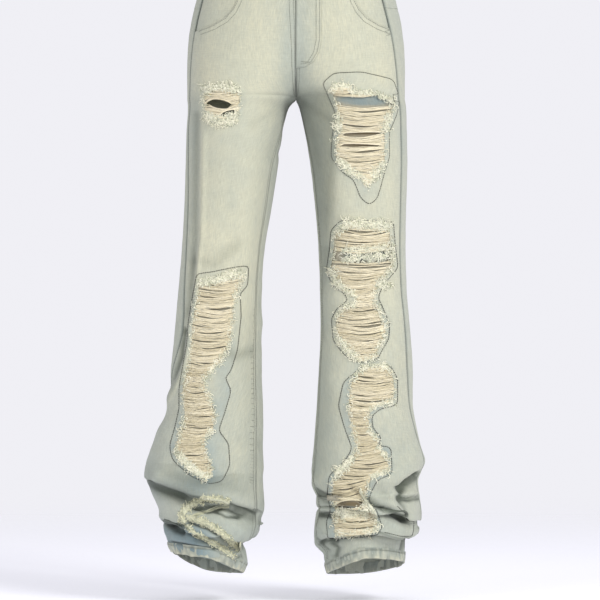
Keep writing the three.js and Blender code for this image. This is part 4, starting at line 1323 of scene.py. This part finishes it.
class JEANS_OT_backs(bpy.types.Operator):
    """Cut the back panels and the yokes above them"""

    bl_idname = "jeans.backs"
    bl_label = "Back Panels and Yokes"

    def execute(self, context):
        for leg in SIDES:
            grid = panel(leg, "back")
            flat = grid.flat_points()
            above = flat[:, 1] - yoke_seam(flat[:, 0])
            under = -1.1 * MM * bell(np.clip(3 - above, 0, None), 4).reshape(grid.shape)
            tuck = self.tucked(grid)
            piece = cloth(f"back_{leg}", grid, 4 - above, np.minimum(tuck, under))
            finish(piece, "denim", "denim", f"back_{leg}")
            piece = cloth(f"yoke_{leg}", grid, above, tuck)
            finish(piece, "denim", "denim", f"yoke_{leg}")
        return {"FINISHED"}

    def tucked(self, grid):
        """The back panel's edges go under the front's."""
        column = np.linspace(0, 1, grid.shape[1])
        from_edge = np.minimum(column, 1 - column) * FLAT_WIDTHS["back"]
        return np.broadcast_to(-1.0 * MM * bell(from_edge, 3), grid.shape)


PATCH_CORNER = 7.0


def patched(leg):
    """The rips of a leg that have a patch behind them."""
    return [name for name in RIPS_OF[leg] if name in PATCHES]


BARE_SHOWS = 5  # a bare place higher than this shows the patch's own denim


class JEANS_OT_patches(bpy.types.Operator):
    """Sew the denim patches behind the rips"""

    bl_idname = "jeans.patches"
    bl_label = "Patches"

    def execute(self, context):
        for leg in SIDES:
            grid = panel(leg, "front")
            flat = grid.flat_points()
            soft = lattice_noise(grid.points.reshape(-1, 3), 0.016, 41).reshape(grid.shape)
            for name in patched(leg):
                keep = inside_of(flat, rounded(PATCHES[name], PATCH_CORNER))
                deep = np.clip(inside_of(flat, rounded(RIPS[name])) / 8, 0, 1).reshape(soft.shape)
                lift = (-1.9 - 1.2 * deep + 0.5 * soft * deep) * MM
                tones = self.tones(name, flat).reshape(*soft.shape, 3)
                piece = cloth(f"patch_{name}", grid, keep, lift, 0.8 * MM, tones)
                finish(piece, "patch", "patch", f"patch_{CAD_NAME[name]}")
        return {"FINISHED"}

    def tones(self, name, flat):
        """Warm fluff behind the threads, and blue-grey denim where they are gone, with painted shade behind
        the threads that is deepest in the holes between them.
        """
        fluff = np.full(len(flat), 0.85)
        for middle, height, left, right in BARE[name]:
            if height > BARE_SHOWS:
                across, down = flat[:, 0] - (left + right) / 2, flat[:, 1] - middle
                away = np.hypot(across / (right - left), down / height)
                fluff *= np.clip((away - 0.45) * 6, 0, 1)
        blue = 0.25 + 0.3 * lattice_noise(flat, 12.0, 44)
        # Painted shade behind the threads, deepest in the holes between them.
        dark = np.full(len(flat), 0.22)
        for x, z, wide, high, slope in HOLES.get(name, ()):
            across, up = flat[:, 0] - x, flat[:, 1] - z - slope * (flat[:, 0] - x)
            dark += 0.75 * np.exp(-((across / wide) ** 4) - (up / (high + 2.5)) ** 2)
        return np.clip(np.stack([fluff, blue * (1 - fluff), dark], axis=1), 0, 1)


class JEANS_OT_threads(bpy.types.Operator):
    """Hang the loose weft threads across the rips"""

    bl_idname = "jeans.threads"
    bl_label = "Weft Threads"

    def execute(self, context):
        for leg in SIDES:
            for seed, name in enumerate(RIPS_OF[leg]):
                piece = tubes(f"threads_{name}", weft_threads(name, leg, 50 + seed))
                finish(piece, "weft", "weft", f"weft_{CAD_NAME[name]}")
        return {"FINISHED"}


# Thicker rows of fibres at some edges, and the bare band across the knee.
TUFTS = {
    "thigh_right": [
        [(-148, -264), (-134, -275), (-114, -280), (-93, -272)],
        [(-150, -224), (-118, -218), (-90, -224)],
    ],
    "shin_right": [[(-194, -800), (-168, -830), (-142, -846)], [(-156, -532), (-128, -528), (-88, -516)]],
    "thigh_left": [
        [(66, -262), (68, -288)], [(146, -262), (142, -290)],
        [(68, -336), (92, -358)], [(140, -340), (122, -362)],
    ],
    "knee_left": [
        [(76, -436), (150, -438)], [(74, -482), (110, -480), (156, -476)],
        [(74, -496), (110, -494), (154, -488)], [(56, -512), (70, -540)],
        [(134, -539), (156, -536)], [(66, -622), (98, -656)],
    ],
    "shin_left": [
        [(64, -898), (90, -899), (112, -898)], [(62, -906), (90, -906), (116, -904)],
        [(64, -838), (92, -812)],
    ],
}
TWISTED = [(102, -864), (107, -874), (116, -888), (126, -900), (131, -910)]
# The torn band above the right hem: its upper edge, what shows inside it, its strip and what is under it.
TORN = {
    "arc": [
        (-107, -884), (-118, -880), (-143, -877), (-155, -882),
        (-171, -889), (-178, -898), (-184, -908), (-178, -917),
    ],
    "inside": [(-107, -889), (-125, -891), (-143, -898), (-161, -903), (-171, -909)],
    "strip": [
        (-172, -906), (-157, -912), (-139, -919), (-125, -928),
        (-114, -937), (-107, -946), (-97, -955), (-93, -964),
    ],
    "under": [
        (-174, -920), (-164, -931), (-150, -939), (-136, -947), (-122, -956), (-107, -967), (-98, -974),
    ],
}
# Fibres along it: where, how many to a millimetre, their length, the seed, how far in and how far spread.
TORN_FRAYS = [
    ("arc", 8.0, 0.8, 70, -0.5, 2.6), ("strip", 8.5, 0.8, 71, 0, 2.4), ("under", 6.5, 0.7, 72, 0, 1.9),
]
# Long threads along it: where, how many, how far spread and the seed.
TORN_STRANDS = [
    ("inside", 9, 1.5, 73), ("under", 5, 1.2, 74), ("arc", 6, 1.5, 75), ("strip", 6, 1.5, 76),
]


def strands(leg, line, count, spread, seed):
    """Long threads that lie along a line, and cross each other a little."""
    rng = np.random.default_rng(seed)
    grid = panel(leg, "front")
    points = even_steps(line, 2.2)
    paths, tones = [], []
    for _ in range(count):
        aside = rng.normal(0, spread)
        wave = np.sin(np.linspace(0, rng.uniform(2, 6), len(points)) + rng.uniform(0, 6))
        swayed = points + np.outer(aside + 0.5 * spread * wave, [0, 1])
        paths.append(grid.laid(swayed, np.full(len(points), rng.uniform(0.3, 1.6))))
        tones.append((rng.uniform(0.3, 0.9), rng.uniform(0, 0.3), 0))
    return [(np.array(paths), rng.uniform(0.4, 0.75, (count, 1)) * MM, tones)]


class JEANS_OT_frays(bpy.types.Operator):
    """Grow the frayed fibres round each rip, and along the tears above the right hem"""

    bl_idname = "jeans.frays"
    bl_label = "Frays"

    def execute(self, context):
        length = rip_sizes().fray
        for leg in SIDES:
            for seed, name in enumerate(RIPS_OF[leg]):
                fibre = length * (0.7 if name == "thigh_right" else 1.0)
                groups = fray_line(leg, rounded(RIPS[name]), True, 3.8, fibre, 60 + seed, 0.2, 2.4)
                for line in TUFTS[name]:
                    groups += fray_line(leg, line, False, 4.0, length * 1.1, 66 + seed, 0, 3.0)
                if name == "shin_left":
                    groups += strands("left", TWISTED, 14, 2.0, 77)
                piece = tubes(f"fray_{name}", groups)
                finish(piece, "fray", "weft")
        groups = []
        for part, count, share, seed, inward, spread in TORN_FRAYS:
            groups += fray_line("right", TORN[part], False, count, length * share, seed, inward, spread)
        for part, count, spread, seed in TORN_STRANDS:
            groups += strands("right", TORN[part], count, spread, seed)
        piece = tubes("fray_stack_right", groups)
        finish(piece, "torn", "weft", "torn_band_right")
        return {"FINISHED"}


class JEANS_OT_pockets(bpy.types.Operator):
    """Sew the pocket facings, back pockets and the fly's flap"""

    bl_idname = "jeans.pockets"
    bl_label = "Pockets and Fly"

    def execute(self, context):
        for leg, side in SIDES.items():
            front, back = panel(leg, "front"), panel(leg, "back")
            behind_mouth = inside_of(front.flat_points(), pocket_mouth(side, 14))
            piece = cloth(f"pocket_facing_{leg}", front, behind_mouth, -1.9 * MM)
            finish(piece, "denim", "denim", f"pocket_facing_{leg}")
            shape = inside_of(back.flat_points(), back_pocket(side))
            puff = 1.3 + 0.8 * np.clip(shape / 20, 0, 1)
            piece = cloth(f"back_pocket_{leg}", back, shape, (puff * MM).reshape(back.shape))
            finish(piece, "denim", "denim", f"back_pocket_{leg}")
        front = panel("left", "front")
        piece = cloth("fly_flap", front, inside_of(front.flat_points(), fly()), 1.2 * MM)
        finish(piece, "denim", "trim_denim", "fly_flap")
        return {"FINISHED"}


HEM_ROWS = 9  # the rows of a panel that its hem covers


class JEANS_OT_hems(bpy.types.Operator):
    """Turn up the hems, roped by the wash"""

    bl_idname = "jeans.hems"
    bl_label = "Hems"

    def execute(self, context):
        depth, pucker = cloth_sizes().hem_depth, cloth_sizes().pucker
        for leg in SIDES:
            front, back = panel(leg, "front"), panel(leg, "back")

            def ring(kind, row):
                values = [getattr(grid, kind)[row] for grid in (front, back)]
                return np.concatenate([values[0][:-1], values[1][:0:-1]])

            edge, normals = ring("points", -1), unit(ring("normals", -1) * [1, 1, 0])
            up = unit(ring("points", -HEM_ROWS) - edge)
            around = run_along(edge)
            run = np.linspace(0, around[-1], round(around[-1] / (1.4 * MM)))
            edge, normals, up = (at_run(run, around, part) for part in (edge, normals, up))
            points, weave, shades = [], [], []
            along = np.stack([run, 0 * run], axis=1) * 1000
            for height, out in self.profile(depth):
                share = height / depth
                place = np.stack([run * 1000, np.full(len(run), height * 1000 * 0.4)], axis=1)
                rope = lattice_noise(place, 4.4, 81) + 0.35 * lattice_noise(place, 9.0, 82)
                hang = lattice_noise(along, 11.0, 83) * 1.5 * MM * (1 - share)
                swell = 2.0 * pucker * rope * np.clip(share * 2.5, 0.4, 1)
                points.append(edge + up * (height + hang)[:, None] + normals * (out + swell)[:, None])
                weave.append(np.stack([run, np.full(len(run), height + (out < 0) * 0.05)], axis=1))
                worn = np.clip(0.35 * (1 - share) ** 3 + (0.22 * rope + 0.30) * (out > 0), 0, 1)
                line = math.exp(-(((height - 0.82 * depth) / 0.0013) ** 2))
                # Painted shade: darker in the troughs of the roping, along a line near the stitching and
                # over the whole inside face.
                deep = np.clip(0.10 - 0.22 * rope + 0.5 * line, 0, 1) if out > 0 else np.full(len(run), 0.35)
                indigo = np.clip(0.36 - 0.14 * rope - 0.25 * (1 - share) ** 2, 0, 1)
                shades.append(np.stack([worn, indigo, deep], axis=1))
            points, weave, shades = (np.array(part) for part in (points, weave, shades))
            piece = grid_mesh(f"hem_{leg}", points, weave, shades, closed=True, turned=leg == "left")
            finish(piece, "hem", "hem", f"hem_{leg}")
            line = points[2]
            MADE[f"hem_line_{leg}"] = (joined(line), joined(normals))
        return {"FINISHED"}

    def profile(self, depth):
        """Down the outside, round the fold and up the inside: heights, and how far out."""
        fold, half = 0.0012, 1.1 * MM
        turns = np.linspace(0, math.pi, 7)[1:-1]
        outside = [(h, half) for h in np.linspace(depth, fold, 9)]
        inside = [(h, -half) for h in np.linspace(fold, depth, 6)]
        return outside + [(fold - fold * math.sin(t), half * math.cos(t)) for t in turns] + inside


def waist_ring(height, angle, out):
    """Points round the waist at a height, in metres."""
    rise = np.clip((height + 40) / 40, 0, 1)
    flare = max(0.0, -40 - height) * 0.3
    outer, front = 154 - 6 * rise + flare, 106 - 5 * rise + flare
    return ring_points("left", (height, outer, -outer, front, front), angle, out)


WAIST_TOP, WAIST_LOW = BAND_TOP / MM - 0.3, -41.5  # the band's cloth, in millimetres
LOOP_ANGLES = {"front_left": 52, "front_right": 128, "side_right": 196, "side_left": 344, "back": 270}
# A belt loop from its top end to its lower end: heights, and how far out from the waist.
LOOP_PROFILE = [
    (-1, 1.4), (-4.5, 1.6), (-7, 3.5), (-9.5, 7.2), (-13, 9.3), (-26, 9.8), (-39, 9.3),
    (-43, 7.2), (-45.5, 3.8), (-47.5, 2.0), (-52, 2.0),
]
LOOP_HALF = 6  # half the width of a belt loop, in millimetres
# The button's outline, from the middle of its face round its rim to the middle of its back.
BUTTON_PROFILE = [
    (0, 1.2), (3.2, 1.2), (3.8, 2.0), (5.6, 2.2), (6.8, 2.9), (7.8, 2.7),
    (8.4, 1.9), (8.4, 0.8), (7.6, 0.1), (2.4, 0.0), (0, 0.0),
]


class JEANS_OT_waist(bpy.types.Operator):
    """Sew the waistband, its belt loops and its button"""

    bl_idname = "jeans.waist"
    bl_label = "Waistband, Loops and Button"

    def execute(self, context):
        self.band()
        self.loops()
        self.button()
        return {"FINISHED"}

    def band(self):
        """One strip round the waist, whose right end goes in under its left end."""
        angle = np.linspace(90 - 8, 450 + 4, 220)
        under = ramp(-angle, -109, 14)
        tuck = 2.9 * under * under * (3 - 2 * under)
        points, weave, shades = [], [], []
        run = np.radians(angle) * 0.13
        for height in np.linspace(WAIST_TOP, WAIST_LOW, 15):
            share = (height - WAIST_LOW) / -WAIST_LOW
            puff = 0.9 * math.sin(math.pi * min(1, max(0, share))) + 0.9
            place = np.stack([run * 1000, np.full(len(run), height)], axis=1)
            ripple, cloud = 0.35 * lattice_noise(place, 9.0, 91), lattice_noise(place, 16.0, 92)
            points.append(waist_ring(height, angle, puff + ripple - tuck))
            weave.append(np.stack([run, np.full(len(run), height * MM)], axis=1))
            rim = math.exp(-((min(share, 1 - share) / 0.09) ** 2))
            fade = 0.42 + 0.3 * cloud + 0.35 * rim
            shades.append(np.stack([fade, 0.25 - 0.2 * cloud, 0.10 + 0 * cloud], axis=1))
        piece = grid_mesh("waistband", *(np.array(part) for part in (points, weave, np.clip(shades, 0, 1))))
        thicken(piece, cloth_sizes().band_cloth)
        finish(piece, "denim", "trim_denim", "waistband")

    def loops(self):
        across = np.linspace(-LOOP_HALF, LOOP_HALF, 7)
        crown = 0.25 * MM * (1 - (np.abs(across) / LOOP_HALF) ** 4)
        for name, middle in LOOP_ANGLES.items():
            near = middle + np.linspace(-9, 9, 91)
            run = run_along(waist_ring(-20, near, 0)) / MM
            angle = np.interp(across, run - np.interp(middle, near, run), near)
            keys = np.array([waist_ring(h, angle, out) for h, out in LOOP_PROFILE])
            points = splined(keys, [3] * (len(keys) - 1))
            outward = unit(points.mean(axis=1, keepdims=True) * [1, 1, 0])
            points = points + outward * crown[None, :, None]
            weave = np.stack(np.meshgrid(across * MM, np.linspace(0, 0.075, len(points))), axis=-1)
            u = weave[..., 0]
            fade = 0.5 + 0.25 * lattice_noise(weave * 1000, 6.0, middle)
            # The outer millimetre at each side of a loop is darker: painted shade on its edges.
            shades = np.stack([fade, 0.2 + 0 * u, 0.3 * (np.abs(u) > 0.005) + 0.05], axis=-1)
            piece = grid_mesh(f"belt_loop_{name}", points, weave, shades)
            thicken(piece, 1.5 * MM)
            finish(piece, "denim", "trim_denim", f"belt_loop_{name}")

    def button(self):
        low, high = (np.array(corner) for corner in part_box("waist_button"))
        middle = (low + high) / 2
        turns = 48
        angle = np.arange(turns) * 2 * math.pi / turns
        (_, face), *sides, (_, back) = BUTTON_PROFILE
        rings = [
            np.stack([r * np.cos(angle), np.full(turns, -h), r * np.sin(angle)], axis=1) for r, h in sides
        ]
        points = np.concatenate([[(0, -face, 0)], *rings, [(0, -back, 0)]]) * MM
        points += [middle[0], high[1], middle[2]]
        last, base = len(points) - 1, len(points) - 1 - turns
        faces = [(0, 1 + (k + 1) % turns, 1 + k) for k in range(turns)]
        faces += (1 + grid_quads(len(rings), turns, True)[:, [0, 3, 2, 1]]).tolist()
        faces += [(last, base + k, base + (k + 1) % turns) for k in range(turns)]
        piece = new_mesh("waist_button", points, faces)
        finish(piece, "metal", "button", "waist_button")


# Dark stitches on the outer side of the left leg's folds.
FOLD_STITCHES = [
    (162, -890), (175, -902), (178, -914), (190, -916), (189, -931), (186, -939), (167, -938), (139, -930),
]
INSEAM_ROW = 0.962  # the row beside the inseam, as a share of the front's width
FINE = 0.36 * MM  # radius of the topstitching's thread


class JEANS_OT_stitching(bpy.types.Operator):
    """Sew round the patches, down the seams and round the hems, pockets and waistband"""

    bl_idname = "jeans.stitching"
    bl_label = "Stitching"

    def execute(self, context):
        outlines = []
        for leg in SIDES:
            grid = panel(leg, "front")
            for name in patched(leg):
                line = rounded(PATCHES[name], PATCH_CORNER)
                outlines.append(seam_on(grid, joined(line)))
        outlines.append(seam_on(panel("left", "front"), FOLD_STITCHES))
        piece = tubes("patch_stitching", stitches(outlines, 100))
        finish(piece, "stitch", "weft")
        for leg, side in SIDES.items():
            piece = tubes(f"topstitching_{leg}", stitches(self.leg_lines(leg, side), 101 + side, FINE))
            finish(piece, "topstitch", "trim_denim")
        piece = tubes("topstitching_waist", stitches(self.waist_lines(), 105, FINE))
        finish(piece, "topstitch", "trim_denim")
        return {"FINISHED"}

    def leg_lines(self, leg, side):
        front, back = panel(leg, "front"), panel(leg, "back")
        last = len(front.points) - HEM_ROWS
        lines = [seam_down(front, share, rows=slice(0, last)) for share in (0.012, 0.988, INSEAM_ROW)]
        lines.append(MADE[f"hem_line_{leg}"])
        if leg == "right":  # a ladder of short stitches up the inseam
            inner, outer = seam_down(front, INSEAM_ROW), seam_down(front, 0.915)
            for k in [k for k in range(last) if -0.86 < front.points[k, -1, 2] < -0.56][::2]:
                lines.append(tuple(np.array([inner[part][k], outer[part][k]]) for part in (0, 1)))
        mouth = np.array(pocket_mouth(side)[:-1])
        for out in (1.6, 7.0):
            lines.append(seam_on(front, (mouth + [-0.7 * side * out, -out])[:-1]))
        x = np.linspace(3, 158, 40)
        for down in (2.0, 8.0):
            lines.append(seam_on(back, np.stack([side * x, yoke_seam(x) + down], axis=1), 0.2 * MM))
        pocket = np.array(back_pocket(side))
        middle = pocket.mean(axis=0)
        for shrink in (0.965, 0.87):
            ring = middle + (pocket - middle) * shrink
            lines.append(seam_on(back, ring[[0, 4, 3, 2, 1]], 2.2 * MM))
        lines.append(seam_on(back, middle + (pocket[:2] - middle) * [0.96, 0.84], 2.6 * MM))
        crotch = np.argmin(np.abs(back.points[:, -1, 2] - CROTCH_LEVEL * MM))
        lines.append(seam_down(back, 0.985, rows=slice(0, crotch)))
        return lines

    def waist_lines(self):
        lines = []
        angle = np.linspace(90 + 10, 450, 260)
        for height in (-3.5, -37.5):
            points = waist_ring(height, angle, 1.6)
            lines.append((points, unit(points * [1, 1, 0])))
        grid = panel("left", "front")
        for inset in (2.5, 8.0):
            line = [(x - inset, z) for x, z in ((40, -45), (40, -146), (36, -165), (27, -180))]
            lines.append(seam_on(grid, line + [(4, -186 + inset)], 1.3 * MM))
        return lines


class JEANS_OT_stage(bpy.types.Operator):
    """Set the pale floor and surround, the soft light and the camera"""

    bl_idname = "jeans.stage"
    bl_label = "Stage"

    def execute(self, context):
        stage = context.scene.jeans_stage
        self.floor(stage)
        self.light(context, "key", (2.3, -2.7, 1.5), 1.4, 103)
        self.light(context, "fill", (-2.4, -2.6, 0.6), 1.8, 34)
        self.surround(context, stage)
        context.scene.view_settings.view_transform = "Standard"
        self.camera(context, stage)
        return {"FINISHED"}

    def surround(self, context, stage):
        """Soft light from all round. The camera sees the floor's colour in its place."""
        world = bpy.data.worlds.new("Studio")
        world.use_nodes = True
        tree = world.node_tree
        soft = tree.nodes["Background"]
        soft.inputs[0].default_value = (0.93, 0.93, 1.0, 1)
        soft.inputs[1].default_value = 0.60
        paper = tree.nodes.new("ShaderNodeBackground")
        paper.inputs[0].default_value = (*stage.floor, 1)
        seen = tree.nodes.new("ShaderNodeLightPath")
        mixed = tree.nodes.new("ShaderNodeMixShader")
        tree.links.new(seen.outputs["Is Camera Ray"], mixed.inputs[0])
        tree.links.new(soft.outputs[0], mixed.inputs[1])
        tree.links.new(paper.outputs[0], mixed.inputs[2])
        tree.links.new(mixed.outputs[0], tree.nodes["World Output"].inputs[0])
        context.scene.world = world

    def floor(self, stage):
        """A round of paper under the legs, which fades out into the studio's pale surround."""
        turns, height, reach = 96, -1.048, 4.2
        angle = np.arange(turns) * 2 * math.pi / turns
        points = np.stack([reach * np.cos(angle), reach * np.sin(angle), np.full(turns, height)], axis=1)
        piece = new_mesh("floor", points, [tuple(range(turns))])
        nodes = Nodes("Paper")
        place = nodes.add("ShaderNodeTexCoord").outputs["Object"]
        away = nodes.add("ShaderNodeVectorMath", operation="LENGTH")
        nodes.put(nodes.stretch(place, 1, 1, 0), away.inputs[0])
        fade = nodes.add(
            "ShaderNodeMapRange", interpolation_type="SMOOTHERSTEP", Value=away.outputs["Value"],
            From_Min=0.5, From_Max=reach - 0.4, To_Min=1.0, To_Max=0.0,
        )
        soft = nodes.noise(place, 1.3, 2.0)
        nodes.look(Base_Color=nodes.mix(soft, tinted(stage.floor, 0.985), stage.floor), Roughness=0.9)
        nodes.look(Alpha=fade.outputs[0], Emission_Color=stage.floor, Emission_Strength=0.3)
        piece.data.materials.append(nodes.material)

    def light(self, context, name, place, width, power):
        lamp = bpy.data.lights.new(name, "AREA")
        lamp.size, lamp.energy = width, power
        holder = bpy.data.objects.new(name, lamp)
        holder.location = place
        middle = Vector((0, 0, -0.6))
        aim = middle - Vector(place)
        holder.rotation_euler = aim.to_track_quat("-Z", "Y").to_euler()
        context.collection.objects.link(holder)

    def camera(self, context, stage):
        lens = bpy.data.cameras.new("camera")
        lens.sensor_width = 36
        nearest = 0.09  # how far the jeans' front stands before their middle
        lens.lens = lens.sensor_width * (stage.distance - nearest) / stage.width
        holder = bpy.data.objects.new("camera", lens)
        holder.location = (0.0064, -stage.distance, -0.560)
        holder.rotation_euler = (math.radians(90), 0, 0)
        context.collection.objects.link(holder)
        context.scene.camera = holder


def declare_sheets():
    """Gathers the names of the pieces sewn on each leg, and does nothing with them."""

    for leg, area in (("right", 0.165), ("left", 0.142)):
        sewn = [f"{kind}_{name}" for name in RIPS_OF[leg] for kind in ("threads", "fray")]
        sewn += [f"topstitching_{leg}"] + (["fray_stack_right"] if leg == "right" else ["patch_stitching"])


class JEANS_OT_sheets(bpy.types.Operator):
    """Run the cut-size step, which gathers the pieces' names and states nothing"""

    bl_idname = "jeans.sheets"
    bl_label = "Cut Sizes"

    def execute(self, context):
        declare_sheets()
        return {"FINISHED"}


OPERATORS = (
    JEANS_OT_stage,
    JEANS_OT_fronts,
    JEANS_OT_backs,
    JEANS_OT_patches,
    JEANS_OT_threads,
    JEANS_OT_frays,
    JEANS_OT_pockets,
    JEANS_OT_hems,
    JEANS_OT_waist,
    JEANS_OT_stitching,
    JEANS_OT_sheets,
)


class JEANS_PT_main(bpy.types.Panel):
    """The jeans' sizes, colours and pieces"""

    bl_label = "Ripped Jeans"
    bl_idname = "JEANS_PT_main"
    bl_space_type = "VIEW_3D"
    bl_region_type = "UI"
    bl_category = "Jeans"

    def draw(self, context):
        for group in SETTINGS:
            box = self.layout.box()
            for name in SETTINGS[group].__annotations__:
                box.prop(getattr(context.scene, group), name)
        for operator in OPERATORS:
            self.layout.operator(operator.bl_idname)


SETTINGS = {
    "jeans_cloth": JeansCloth,
    "jeans_wash": JeansWash,
    "jeans_rips": JeansRips,
    "jeans_stage": JeansStage,
}
CLASSES = (*SETTINGS.values(), *OPERATORS, JEANS_PT_main)


def register():
    for item in CLASSES:
        bpy.utils.register_class(item)
    for name, group in SETTINGS.items():
        setattr(bpy.types.Scene, name, PointerProperty(type=group))


def unregister():
    for name in SETTINGS:
        delattr(bpy.types.Scene, name)
    for item in reversed(CLASSES):
        bpy.utils.unregister_class(item)


def main():
    register()
    for operator in OPERATORS:
        getattr(bpy.ops.jeans, operator.bl_idname.split(".")[1])()


if __name__ == "__main__":
    main()
